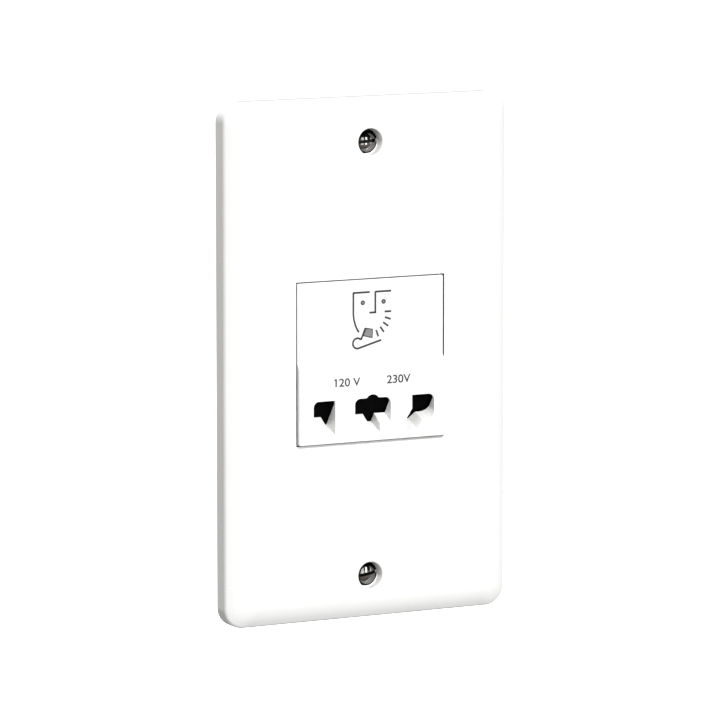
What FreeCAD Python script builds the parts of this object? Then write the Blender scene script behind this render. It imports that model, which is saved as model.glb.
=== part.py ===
"""Dual-voltage shaver socket on a two-gang wall plate, with its shutter, contacts, switch and transformer.

X runs to the viewer's right, Y runs into the wall and Z runs up. The origin is the middle of the plate's
back rim, so the wall is the plane y = 0, the front faces -Y and the housing stands behind in +Y.
"""

import FreeCAD, Part
import math
import os
from types import SimpleNamespace

import Sketcher

Vector = FreeCAD.Vector

# Driving sizes, in millimetres unless the name says otherwise.
SIZES = {
    # wall plate
    "plate_width": 87.0,
    "plate_height": 145.0,
    "plate_depth": 7.7,
    "plate_corner": 5.5,
    "roll_width": 7.5,
    "roll_drop": 2.9,
    "flat_corner": 3.0,
    "crease_round": 1.4,
    "front_wall": 2.7,
    "rim_wall": 3.0,
    "rib_wall": 1.4,
    "rib_pitch": 30.0,
    "collar_wall": 1.6,
    "collar_height": 3.0,
    # fixing screws and their holes
    "fixing_pitch": 120.6,
    "fixing_boss": 10.4,
    "counterbore": 7.4,
    "counterbore_depth": 2.9,
    "counterbore_rim": 0.35,
    "fixing_bore": 4.1,
    "fixing_thread": 3.5,
    "fixing_neck": 3.1,
    "fixing_head": 6.8,
    "fixing_head_dome": 0.7,
    "fixing_length": 40.0,
    "fixing_slot": 0.9,
    "fixing_slot_depth": 1.0,
    "lower_slot_turn_degrees": 9.0,
    # socket insert
    "insert_width": 45.2,
    "insert_height": 44.8,
    "insert_gap": 0.35,
    "insert_corner": 0.5,
    "insert_edge_round": 0.3,
    "insert_rise": 1.4,
    "insert_wall": 2.0,
    "insert_skin": 0.8,
    "rise_top": 0.3,
    "rise_run": 1.5,
    "rise_blend": 0.8,
    "flange_margin": 1.9,
    "flange_thickness": 1.3,
    # pin apertures, measured from the insert's centre and down from their top edge
    "aperture_top": 10.4,
    "band_front": 7.3,
    "band_throat": 4.9,
    "right_band_throat": 5.5,
    "leg_front": 9.6,
    "leg_throat": 7.45,
    "throat_depth": 6.0,
    "left_outer": 18.3,
    "left_inner": 11.6,
    "left_leg_top": 2.7,
    "left_leg_tip": 0.8,
    "middle_half": 5.55,
    "middle_leg_side": 2.2,
    "middle_leg_top": 3.5,
    "middle_leg_tip": 1.8,
    "bump_radius": 2.4,
    "bump_rise": 1.0,
    "right_inner": 12.2,
    "right_outer": 19.1,
    "right_leg_side": 10.5,
    "right_leg_top": 15.3,
    "right_leg_tip": 13.8,
    "right_bend_top": 3.85,
    "right_bend_low": 6.35,
    "aperture_round": 1.7,
    "right_low_round": 2.6,
    # shutter and spring
    "slide_gap": 0.3,
    "stem_thickness": 2.2,
    "shutter_lap": 0.9,
    "shutter_slope": 1.32,
    "nose_gap": 0.7,
    "shutter_wall": 1.0,
    "shutter_rib": 1.4,
    "cavity_margin": 0.3,
    "wing_width": 1.0,
    "stem_top": 3.0,
    "shutter_travel": 8.4,
    "spring_wire": 0.35,
    "spring_mean": 2.0,
    "spring_room": 11.0,
    "spring_turns": 6.0,
    "peg_length": 1.1,
    "peg_clearance": 0.15,
    # contact carrier
    "cheek_wall": 3.3,
    "bridge_height": 2.0,
    "block_margin": 1.1,
    "block_wall": 1.5,
    "block_floor": 3.6,
    "chamber_depth": 12.0,
    "chamber_side": 0.7,
    "lug_x": 18.0,
    "lug_offset": 4.7,
    "lug_half": 3.5,
    "lug_thickness": 2.5,
    # contacts
    "contact_strip": 0.5,
    "contact_gap": 0.3,
    "contact_mouth": 0.4,
    "contact_throat": 3.4,
    "contact_throat_place": 0.6,
    "tail_width": 4.0,
    "tail_reach": 4.0,
    # microswitch
    "switch_length": 12.8,
    "switch_height": 6.5,
    "switch_thickness": 5.8,
    "switch_peg": 2.2,
    "switch_peg_pitch": 6.5,
    "switch_peg_inset": 1.9,
    "switch_gap": 0.8,
    "plunger_below_top": 2.3,
    "plunger_above_case": 2.8,
    "plunger_width": 2.6,
    "plunger_height": 1.6,
    "plunger_depth": 1.8,
    "plunger_travel": 1.0,
    "plunger_gap": 0.3,
    "switch_blade_width": 3.2,
    "switch_blade": 0.5,
    "switch_blade_reach": 2.6,
    "switch_blade_pitch": 4.4,
    # transformer
    "core_length": 48.0,
    "core_width": 40.0,
    "core_leg": 16.0,
    "core_stack": 18.0,
    "core_gap": 0.5,
    "core_hole": 3.4,
    "core_hole_inset": 4.0,
    "bobbin_wall": 1.0,
    "bobbin_gap": 0.2,
    "coil_build": 7.2,
    "winding_inset": 0.8,
    "cutout_length": 16.0,
    "cutout_width": 5.6,
    "cutout_depth": 5.5,
    # terminals
    "terminal_pitch": 11.4,
    "terminal_wall": 1.6,
    "terminal_height": 17.5,
    "terminal_depth": 14.8,
    "terminal_base": 3.0,
    "pillar_width": 7.0,
    "pillar_depth": 9.0,
    "wire_bore": 4.0,
    "terminal_thread": 3.5,
    "terminal_head": 5.2,
    "terminal_lug_x": 10.0,
    "terminal_gap": 0.5,
    # rear housing
    "housing_wall": 1.8,
    "housing_gap": 0.5,
    "side_room": 2.9,
    "housing_top": 50.0,
    "tray_depth": 24.0,
    "hump_depth": 38.8,
    "hump_inset": 2.0,
    "housing_corner": 3.0,
    "housing_edge_round": 1.5,
    "ear_x": 22.0,
    "ear_offset": 4.0,
    "ear_half": 4.0,
    "ear_thickness": 2.5,
    "vent_slot": 1.6,
    "vent_pitch": 4.4,
    "vent_inner": 3.0,
    "vent_outer": 15.0,
    # wires between the terminals, the switch, the windings and the contacts
    "lead_diameter": 1.1,
    "lead_hole": 1.8,
    "lead_room": 1.4,
    "lead_turn_room": 4.2,
    "tap_pitch": 3.3,
    # screws into the plate's bosses and into the core posts
    "boss_diameter": 6.4,
    "screw_thread": 2.9,
    "screw_pilot": 3.0,
    "screw_hole": 3.3,
    "screw_head": 5.4,
    "screw_head_height": 2.0,
    "screw_bite": 4.0,
    "screw_slot": 0.8,
    "core_post": 7.0,
}


class Size:
    """A number together with the formula that gives it from the sheet's cells."""

    def __init__(self, number, formula):
        self.number = float(number)
        self.formula = formula

    def __add__(self, other):
        other = as_size(other)
        return Size(self.number + other.number, f"({self.formula} + {other.formula})")

    def __sub__(self, other):
        other = as_size(other)
        return Size(self.number - other.number, f"({self.formula} - {other.formula})")

    def __mul__(self, other):
        other = as_size(other)
        return Size(self.number * other.number, f"({self.formula} * {other.formula})")

    def __truediv__(self, other):
        other = as_size(other)
        return Size(self.number / other.number, f"({self.formula} / {other.formula})")

    def __radd__(self, other):
        return as_size(other) + self

    def __rsub__(self, other):
        return as_size(other) - self

    def __rmul__(self, other):
        return as_size(other) * self

    def __neg__(self):
        return Size(-self.number, f"(0 - {self.formula})")


def as_size(value):
    return value if isinstance(value, Size) else Size(value, repr(float(value)))


def root(size):
    return Size(math.sqrt(size.number), f"sqrt({size.formula})")


doc = FreeCAD.newDocument("shaver_socket")
sheet = doc.addObject("Spreadsheet::Sheet", "sizes")
for row, (alias, number) in enumerate(SIZES.items(), 1):
    sheet.set(f"A{row}", alias)
    sheet.set(f"B{row}", str(number))
    sheet.setAlias(f"B{row}", alias)
doc.recompute()
dim = SimpleNamespace(**{alias: Size(sheet.get(alias), f"sizes.{alias}") for alias in SIZES})

# Levels along Y, from the raised front of the insert to the back of the housing.
FACE = -dim.plate_depth
RAISED = FACE - dim.insert_rise
SKIN_BACK = RAISED + dim.insert_skin
NOSE_FRONT = SKIN_BACK + dim.slide_gap
THROAT_BACK = RAISED + dim.throat_depth
CEILING = FACE + dim.front_wall
FLANGE_BACK = CEILING + dim.flange_thickness
SHUTTER_FRONT = FLANGE_BACK + dim.slide_gap
STEM_BACK = SHUTTER_FRONT + dim.stem_thickness
BLOCK_FRONT = STEM_BACK + dim.slide_gap
CHAMBER_BACK = BLOCK_FRONT + dim.chamber_depth
BLOCK_BACK = CHAMBER_BACK + dim.block_wall
SWITCH_FRONT = STEM_BACK + dim.switch_gap
WALL = as_size(0.0)

# Half-widths and heights that several pieces share.
INSERT_HALF_X = dim.insert_width / 2
INSERT_HALF = dim.insert_height / 2
CARRIER_HALF = INSERT_HALF + dim.flange_margin
CHEEK_INSIDE = CARRIER_HALF - dim.cheek_wall
LUG_Z = CARRIER_HALF + dim.lug_offset
LUG_END = LUG_Z + dim.lug_half
TRAY_HALF = CARRIER_HALF + dim.side_room + dim.housing_wall
HOUSING_BOTTOM = -(LUG_END + dim.housing_gap + dim.housing_wall)
FIXING_Z = dim.fixing_pitch / 2
APERTURE_TOP = -dim.aperture_top
SHUTTER_BOTTOM = APERTURE_TOP - dim.leg_throat - dim.shutter_lap
SHOULDER = APERTURE_TOP + dim.shutter_lap
RISE_BOTTOM = dim.rise_top - dim.rise_run
CAVITY_TOP = RISE_BOTTOM - dim.cavity_margin
NOSE_TOP = CAVITY_TOP - dim.slide_gap - dim.shutter_travel
BRIDGE_BOTTOM = dim.stem_top + dim.spring_room
BRIDGE_TOP = BRIDGE_BOTTOM + dim.bridge_height
BLOCK_TOP = APERTURE_TOP + dim.block_margin + dim.shutter_lap
BLOCK_BOTTOM = SHUTTER_BOTTOM - dim.block_floor


def bind(feature, name, size):
    feature.setExpression(name, as_size(size).formula)


def new_body(label):
    made = doc.addObject("PartDesign::Body", label)
    made.Label = label
    return made


def origin_feature(body, role):
    return next(f for f in body.Origin.OriginFeatures if f.Role == role)


def new_sketch(body, plane, name, along):
    """A sketch on one of the body's origin planes, moved to a level along that plane's world axis."""
    made = body.newObject("Sketcher::SketchObject", name)
    made.AttachmentSupport = [(origin_feature(body, plane), "")]
    made.MapMode = "FlatFace"
    along = as_size(along)
    bind(made, "AttachmentOffset.Base.z", -along if plane == "XZ_Plane" else along)
    return made


def pin_point(sketch, geometry, vertex, across, up):
    """Hold one sketch point at its formula's distances from the sketch's origin."""
    for kind, size in (("DistanceX", across), ("DistanceY", up)):
        size = as_size(size)
        held = sketch.addConstraint(Sketcher.Constraint(kind, -1, 1, geometry, vertex, size.number))
        sketch.setExpression(f"Constraints[{held}]", size.formula)


def outline(corners):
    """A closed loop of straight lines through the given corners."""

    def draw(sketch):
        spots = [Vector(as_size(x).number, as_size(y).number, 0) for x, y in corners]
        lines = [Part.LineSegment(a, b) for a, b in zip(spots, spots[1:] + spots[:1])]
        ids = list(sketch.addGeometry(lines, False))
        for this, following in zip(ids, ids[1:] + ids[:1]):
            sketch.addConstraint(Sketcher.Constraint("Coincident", this, 2, following, 1))
        for line, (x, y) in zip(ids, corners):
            pin_point(sketch, line, 1, x, y)

    return draw


def box(left, bottom, right, top):
    return outline([(left, bottom), (right, bottom), (right, top), (left, top)])


def centred_box(half_across, half_up):
    return box(-half_across, -half_up, half_across, half_up)


def rounded_box(left, bottom, right, top, radius):
    """A rectangle with four equal corner arcs, held by its sides and its radius."""
    left, bottom, right, top, radius = map(as_size, (left, bottom, right, top, radius))

    def draw(sketch):
        arcs = []
        turns = (
            (right, top, -1, -1, 0),
            (left, top, 1, -1, 1),
            (left, bottom, 1, 1, 2),
            (right, bottom, -1, 1, 3),
        )
        for x, y, inward_x, inward_y, quarter in turns:
            middle = Vector((x + radius * inward_x).number, (y + radius * inward_y).number, 0)
            circle = Part.Circle(middle, Vector(0, 0, 1), radius.number)
            arc = Part.ArcOfCircle(circle, quarter * math.pi / 2, (quarter + 1) * math.pi / 2)
            arcs.append(sketch.addGeometry(arc, False))
            pin_point(sketch, arcs[-1], 3, x + radius * inward_x, y + radius * inward_y)
        for this, following in zip(arcs, arcs[1:] + arcs[:1]):
            a = sketch.getPoint(this, 2)
            b = sketch.getPoint(following, 1)
            line = sketch.addGeometry(Part.LineSegment(a, b), False)
            sketch.addConstraint(Sketcher.Constraint("Tangent", this, 2, line, 1))
            sketch.addConstraint(Sketcher.Constraint("Tangent", line, 2, following, 1))
        held = sketch.addConstraint(Sketcher.Constraint("Radius", arcs[0], radius.number))
        sketch.setExpression(f"Constraints[{held}]", radius.formula)

    return draw


def disc(across, up, radius):
    radius = as_size(radius)

    def draw(sketch):
        middle = Vector(as_size(across).number, as_size(up).number, 0)
        circle = sketch.addGeometry(Part.Circle(middle, Vector(0, 0, 1), radius.number), False)
        pin_point(sketch, circle, 3, across, up)
        held = sketch.addConstraint(Sketcher.Constraint("Radius", circle, radius.number))
        sketch.setExpression(f"Constraints[{held}]", radius.formula)

    return draw


def drawn(body, plane, name, along, profiles):
    sketch = new_sketch(body, plane, name + "_sketch", along)
    for draw in profiles:
        draw(sketch)
    return sketch


def add(body, name, profiles, start, end, plane="XZ_Plane"):
    """Pad the profiles from one level to a higher one along the plane's world axis."""
    made = body.newObject("PartDesign::Pad", name)
    made.Profile = drawn(body, plane, name, start, profiles)
    bind(made, "Length", as_size(end) - start)
    made.Reversed = plane == "XZ_Plane"
    return made


def cut(body, name, profiles, start, end, plane="XZ_Plane"):
    """Pocket the profiles from one level to a higher one along the plane's world axis."""
    made = body.newObject("PartDesign::Pocket", name)
    made.Profile = drawn(body, plane, name, start, profiles)
    bind(made, "Length", as_size(end) - start)
    made.Reversed = plane != "XZ_Plane"
    return made


def finish_edges(body, kind, name, wanted, size):
    """Fillet or chamfer the edges that the test picks out."""
    doc.recompute()
    edges = [f"Edge{i}" for i, edge in enumerate(body.Shape.Edges, 1) if wanted(edge)]
    made = body.newObject(f"PartDesign::{kind}", name)
    made.Base = (body.Tip, edges) if body.Tip != made else (made.BaseFeature, edges)
    bind(made, "Radius" if kind == "Fillet" else "Size", size)
    return made


NEAR = 0.02


def runs_through(edge, axis, **places):
    """True for an edge along an axis whose middle lies at the given places on the other axes."""
    direction = edge.tangentAt(edge.FirstParameter)
    middle = edge.CenterOfMass
    along = abs(getattr(direction, axis)) > 0.8
    return along and all(abs(getattr(middle, k) - as_size(v).number) < NEAR for k, v in places.items())


def both_signs(size):
    return (-size, size)


# Wall plate: a slab with a rolled front edge, hollow behind, with bosses, collar and ribs.
ROLL_STEPS = 5


def make_front_plate():
    plate = new_body("front_plate")
    half_width = dim.plate_width / 2
    half_height = dim.plate_height / 2
    crease = FACE + dim.roll_drop
    outer = rounded_box(-half_width, -half_height, half_width, half_height, dim.plate_corner)
    add(plate, "slab", [outer], crease, WALL)

    # The roll is an arc that leaves the flat front level and meets the side at a crease.
    roll_radius = (dim.roll_width * dim.roll_width + dim.roll_drop * dim.roll_drop) / (dim.roll_drop * 2)
    sections = []
    for step in range(ROLL_STEPS + 1):
        share = step / ROLL_STEPS
        inset = dim.roll_width * share
        run = dim.roll_width - inset
        level = FACE + roll_radius - root(roll_radius * roll_radius - run * run)
        corner = dim.plate_corner + (dim.flat_corner - dim.plate_corner) * share
        across = half_width - inset
        up = half_height - inset
        ring = rounded_box(-across, -up, across, up, corner)
        sections.append(drawn(plate, "XZ_Plane", f"roll_{step}", level, [ring]))
    roll = plate.newObject("PartDesign::AdditiveLoft", "edge_roll")
    roll.Profile = sections[0]
    roll.Sections = sections[1:]

    hollow = rounded_box(
        dim.rim_wall - half_width,
        dim.rim_wall - half_height,
        half_width - dim.rim_wall,
        half_height - dim.rim_wall,
        dim.plate_corner / 2,
    )
    cut(plate, "back_hollow", [hollow], CEILING, WALL)
    opening = centred_box(INSERT_HALF_X + dim.insert_gap, INSERT_HALF + dim.insert_gap)
    cut(plate, "insert_opening", [opening], FACE, CEILING)

    collar_inside = CARRIER_HALF + dim.slide_gap
    collar_outside = collar_inside + dim.collar_wall
    add(
        plate,
        "insert_collar",
        [centred_box(collar_outside, collar_outside), centred_box(collar_inside, collar_inside)],
        CEILING,
        CEILING + dim.collar_height,
    )
    bosses = [disc(x, z, dim.boss_diameter / 2) for x, z in screw_places()]
    bosses += [disc(0, z, dim.fixing_boss / 2) for z in both_signs(FIXING_Z)]
    add(plate, "screw_bosses", bosses, CEILING, WALL)

    ribs = []
    for side in (-1, 1):
        near = TRAY_HALF + dim.housing_gap
        far = half_width - dim.rim_wall + dim.rib_wall / 2
        for step in (-1, 0, 1):
            level = dim.rib_pitch * step
            low, high = sorted((near * side, far * side), key=lambda size: size.number)
            ribs.append(box(low, level - dim.rib_wall / 2, high, level + dim.rib_wall / 2))
    add(plate, "side_ribs", ribs, CEILING, WALL - dim.rib_wall)

    pilots = [disc(x, z, dim.screw_pilot / 2) for x, z in screw_places()]
    cut(plate, "screw_pilots", pilots, WALL - dim.screw_bite - dim.housing_gap, WALL)
    fixing = both_signs(FIXING_Z)
    seat = FACE + dim.counterbore_depth
    cut(plate, "counterbores", [disc(0, z, dim.counterbore / 2) for z in fixing], FACE, seat)
    cut(plate, "fixing_bores", [disc(0, z, dim.fixing_bore / 2) for z in fixing], FACE, WALL)
    seat_width = (dim.fixing_head - dim.fixing_bore) / 2

    def around_fixing(edge, radius):
        """True for an edge that stays at a radius from the axis of a fixing hole."""
        spots = edge.discretize(5)
        reaches = [math.hypot(spot.x, abs(spot.z) - FIXING_Z.number) for spot in spots]
        return all(abs(reach - radius.number) < NEAR for reach in reaches)

    def on_seat(edge):
        level = edge.BoundBox
        flat = abs(level.YMin - seat.number) < NEAR and abs(level.YMax - seat.number) < NEAR
        return flat and around_fixing(edge, dim.fixing_bore / 2)

    def on_mouth(edge):
        return edge.BoundBox.YMax < seat.number - NEAR and around_fixing(edge, dim.counterbore / 2)

    finish_edges(plate, "Chamfer", "countersinks", on_seat, seat_width)
    finish_edges(plate, "Fillet", "counterbore_rims", on_mouth, dim.counterbore_rim)

    def on_crease(edge):
        box_of = edge.BoundBox
        reach_x = max(abs(box_of.XMin), abs(box_of.XMax))
        reach_z = max(abs(box_of.ZMin), abs(box_of.ZMax))
        outside = reach_x > half_width.number - NEAR or reach_z > half_height.number - NEAR
        level = abs(box_of.YMin - crease.number) < NEAR and abs(box_of.YMax - crease.number) < NEAR
        return outside and level

    finish_edges(plate, "Fillet", "crease_rounding", on_crease, dim.crease_round)
    return plate


def screw_places():
    """The centres of the screws that hold the carrier, the housing and the terminal block to the plate."""
    carrier = [(x, z) for x in both_signs(dim.lug_x) for z in both_signs(LUG_Z)]
    ear_levels = (HOUSING_BOTTOM - dim.ear_offset, dim.housing_top + dim.ear_offset)
    ears = [(x, z) for x in both_signs(dim.ear_x) for z in ear_levels]
    terminals = [(x, TERMINAL_BOTTOM - dim.lug_half) for x in both_signs(dim.terminal_lug_x)]
    return carrier + ears + terminals


# The shutter's slope: the cavity floor falls from the apertures' top edge, and the shutter lies just over it.
SLOPE_LENGTH = root(1 + dim.shutter_slope * dim.shutter_slope)


def cavity_floor(level):
    return APERTURE_TOP - dim.shutter_slope * (level - RAISED)


def above_cavity_floor(gap, height):
    """The level along Y at a height, on the plane that lies a gap over the cavity's floor."""
    return RAISED + (APERTURE_TOP + gap * SLOPE_LENGTH - height) / dim.shutter_slope


def at_throat(front, on_slope):
    """How far down a ramp lies at the throat's back, when it meets the shutter's slope at on_slope."""
    return front - (front - on_slope) * dim.throat_depth * dim.shutter_slope / on_slope


# Socket insert: a square moulding, flush above and raised below, with three funnelled apertures.
def aperture_outlines(band, right_band, leg):
    """The three aperture outlines at one depth, given how far the pin bands and the blade legs reach down."""
    top = APERTURE_TOP
    floor = top - band
    right_floor = top - right_band
    tip = top - leg
    left = [
        (-dim.left_outer, top),
        (-dim.left_inner, top),
        (-dim.left_inner, tip),
        (-dim.left_inner - dim.left_leg_tip, tip),
        (-dim.left_inner - dim.left_leg_top, floor),
        (-dim.left_outer, floor),
    ]
    middle = [
        (-dim.middle_half, top),
        (dim.middle_half, top),
        (dim.middle_half, floor),
        (dim.middle_leg_side, floor),
        (dim.middle_leg_side, tip),
        (dim.middle_leg_side - dim.middle_leg_tip, tip),
        (dim.middle_leg_side - dim.middle_leg_top, floor),
        (-dim.middle_half, floor),
    ]
    right = [
        (dim.right_inner, top),
        (dim.right_outer, top),
        (dim.right_outer, right_floor),
        (dim.right_leg_top, right_floor),
        (dim.right_leg_tip, tip),
        (dim.right_leg_side, tip),
        (dim.right_leg_side, top - dim.right_bend_low),
        (dim.right_inner, top - dim.right_bend_top),
    ]
    return {"left": left, "middle": middle, "right": right}


def make_socket_insert():
    insert = new_body("socket_insert")
    add(insert, "square", [centred_box(INSERT_HALF_X, INSERT_HALF)], FACE, FLANGE_BACK)
    bottom = -INSERT_HALF
    raised = outline([(FACE, dim.rise_top), (FACE, bottom), (RAISED, bottom), (RAISED, RISE_BOTTOM)])
    add(insert, "raised_half", [raised], -INSERT_HALF_X, INSERT_HALF_X, "YZ_Plane")

    def on_slope(edge):
        upper = runs_through(edge, "x", y=FACE, z=dim.rise_top)
        return upper or runs_through(edge, "x", y=RAISED, z=RISE_BOTTOM)

    finish_edges(insert, "Fillet", "slope_blend", on_slope, dim.rise_blend)

    corners = [(x, z) for x in both_signs(INSERT_HALF_X) for z in both_signs(INSERT_HALF)]

    def on_corner(edge):
        return any(runs_through(edge, "y", x=x, z=z) for x, z in corners)

    finish_edges(insert, "Fillet", "corner_rounding", on_corner, dim.insert_corner)

    def on_front_edge(edge):
        box_of = edge.BoundBox
        return box_of.YMax < FACE.number + NEAR and (
            abs(abs(box_of.Center.x) - INSERT_HALF_X.number) < dim.insert_corner.number
            or abs(abs(box_of.Center.z) - INSERT_HALF.number) < dim.insert_corner.number
        )

    finish_edges(insert, "Fillet", "front_edge_rounding", on_front_edge, dim.insert_edge_round)
    add(insert, "flange", [centred_box(CARRIER_HALF, CARRIER_HALF)], CEILING, FLANGE_BACK)
    hollow_half = INSERT_HALF - dim.insert_wall
    hollow = box(-hollow_half, dim.rise_top + dim.insert_wall, hollow_half, hollow_half)
    cut(insert, "upper_hollow", [hollow], FACE + dim.insert_wall, FLANGE_BACK)

    throat_half = CHEEK_INSIDE - dim.slide_gap
    throat_block = box(-throat_half, BLOCK_BOTTOM + dim.slide_gap, throat_half, SHOULDER + dim.bump_rise)
    add(insert, "throat_block", [throat_block], FLANGE_BACK, THROAT_BACK)

    front = aperture_outlines(dim.band_front, dim.band_front, dim.leg_front)
    right_back = at_throat(dim.band_front, dim.right_band_throat)
    back = aperture_outlines(
        at_throat(dim.band_front, dim.band_throat),
        right_back,
        at_throat(dim.leg_front, dim.leg_throat),
    )
    for side in front:
        mouth = drawn(insert, "XZ_Plane", f"{side}_mouth", RAISED, [outline(front[side])])
        throat = drawn(insert, "XZ_Plane", f"{side}_throat", THROAT_BACK, [outline(back[side])])
        funnel = insert.newObject("PartDesign::SubtractiveLoft", f"{side}_aperture")
        funnel.Profile = mouth
        funnel.Sections = [throat]
        funnel.Ruled = True
    bump = disc(0, APERTURE_TOP + dim.bump_rise - dim.bump_radius, dim.bump_radius)

    def on_round_corner(edge):
        places = (-dim.left_outer, -dim.middle_half, dim.middle_half, dim.right_outer)
        return any(runs_through(edge, "y", x=x, z=APERTURE_TOP) for x in places)

    finish_edges(insert, "Fillet", "aperture_rounding", on_round_corner, dim.aperture_round)

    def on_low_corner(edge):
        middle_of_ramp = APERTURE_TOP - (dim.band_front + right_back) / 2
        return runs_through(edge, "y", x=dim.right_outer, z=middle_of_ramp)

    finish_edges(insert, "Fillet", "right_low_rounding", on_low_corner, dim.right_low_round)
    cut(insert, "middle_bump", [bump], RAISED, THROAT_BACK)

    # The shutter slides in this cavity, over a floor that leaves the walls of the apertures as triangles.
    cavity = outline(
        [
            (SKIN_BACK, CAVITY_TOP),
            (SKIN_BACK, cavity_floor(SKIN_BACK)),
            (THROAT_BACK, cavity_floor(THROAT_BACK)),
            (THROAT_BACK, CAVITY_TOP),
        ]
    )
    cut(insert, "shutter_cavity", [cavity], -CHEEK_INSIDE, CHEEK_INSIDE, "YZ_Plane")
    return insert


# Shutter: a slide with a sloped nose that the pins lift, cored behind, with wings in the carrier's guides.
CORE_POCKETS = 4
WEDGE_HALF = CHEEK_INSIDE - dim.slide_gap
GUIDE_HALF = CHEEK_INSIDE + dim.wing_width
WING_HALF = GUIDE_HALF - dim.slide_gap
WING_BOTTOM = SHOULDER + dim.slide_gap
PLUNGER_Z = dim.stem_top - dim.plunger_below_top
SWITCH_Z = PLUNGER_Z - dim.plunger_above_case
SWITCH_LEFT = CHEEK_INSIDE - dim.switch_thickness
PLUNGER_X = CHEEK_INSIDE - dim.switch_thickness / 2


def make_shutter():
    shutter = new_body("shutter")
    wedge = outline(
        [
            (SHUTTER_FRONT, dim.stem_top),
            (SHUTTER_FRONT, NOSE_TOP),
            (NOSE_FRONT, NOSE_TOP),
            (NOSE_FRONT, cavity_floor(NOSE_FRONT) + dim.nose_gap * SLOPE_LENGTH),
            (above_cavity_floor(dim.nose_gap, SHUTTER_BOTTOM), SHUTTER_BOTTOM),
            (STEM_BACK, SHUTTER_BOTTOM),
            (STEM_BACK, dim.stem_top),
        ]
    )
    add(shutter, "wedge", [wedge], -WEDGE_HALF, WEDGE_HALF, "YZ_Plane")
    pocket_top = NOSE_TOP - dim.shutter_wall
    pocket_bottom = SHUTTER_BOTTOM + dim.shutter_wall
    pocket_gap = dim.nose_gap + dim.shutter_wall
    pocket = [
        (STEM_BACK, pocket_top),
        (above_cavity_floor(pocket_gap, pocket_top), pocket_top),
        (above_cavity_floor(pocket_gap, pocket_bottom), pocket_bottom),
        (STEM_BACK, pocket_bottom),
    ]
    pocket_pitch = (WEDGE_HALF * 2 - dim.shutter_rib) / CORE_POCKETS
    for count in range(CORE_POCKETS):
        start = dim.shutter_rib - WEDGE_HALF + pocket_pitch * count
        end = start + pocket_pitch - dim.shutter_rib
        cut(shutter, f"core_pocket_{count}", [outline(pocket)], start, end, "YZ_Plane")
    add(shutter, "wings", [box(-WING_HALF, WING_BOTTOM, WING_HALF, dim.stem_top)], SHUTTER_FRONT, STEM_BACK)
    peg_radius = (dim.spring_mean - dim.spring_wire) / 2 - dim.peg_clearance
    middle = (SHUTTER_FRONT + STEM_BACK) / 2
    peg_top = dim.stem_top + dim.peg_length
    add(shutter, "spring_peg", [disc(0, middle, peg_radius)], dim.stem_top, peg_top, "XY_Plane")

    # The switch's plunger rides up this shallow ramp in the back of the stem as the shutter lifts.
    ramp_floor = STEM_BACK - dim.plunger_travel
    ramp = outline(
        [
            (ramp_floor, PLUNGER_Z + dim.plunger_height),
            (ramp_floor, PLUNGER_Z),
            (STEM_BACK, PLUNGER_Z - dim.shutter_travel),
            (STEM_BACK, PLUNGER_Z + dim.plunger_height),
        ]
    )
    half = dim.plunger_width / 2 + dim.slide_gap
    cut(shutter, "plunger_ramp", [ramp], PLUNGER_X - half, PLUNGER_X + half, "YZ_Plane")
    return shutter


def make_shutter_spring():
    spring = new_body("shutter_spring")
    bind(spring, "Placement.Base.y", (SHUTTER_FRONT + STEM_BACK) / 2)
    bind(spring, "Placement.Base.z", dim.stem_top + dim.spring_wire / 2)
    wire = drawn(spring, "XZ_Plane", "wire", 0, [disc(dim.spring_mean / 2, 0, dim.spring_wire / 2)])
    coil = spring.newObject("PartDesign::AdditiveHelix", "coil")
    coil.Profile = wire
    coil.ReferenceAxis = (wire, ["V_Axis"])
    coil.Mode = "height-turns-angle"
    bind(coil, "Height", dim.spring_room - dim.spring_wire)
    bind(coil, "Turns", dim.spring_turns)
    return spring


# Contact carrier: a frame behind the insert with guides for the shutter and chambers for the contacts.
def chamber_spans():
    side = dim.chamber_side
    left = (-dim.left_outer - side, -dim.left_inner + side)
    middle = (-dim.middle_half - side, dim.middle_half + side)
    right = (dim.right_leg_side - side, dim.right_outer + side)
    return {"contact_120v": left, "contact_common": middle, "contact_230v": right}


CHAMBER_TOP = APERTURE_TOP + dim.shutter_lap
CHAMBER_BOTTOM = SHUTTER_BOTTOM
TAIL_Z = (CHAMBER_TOP + CHAMBER_BOTTOM) / 2
CHEEK_BACK = SWITCH_FRONT + dim.switch_height


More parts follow.
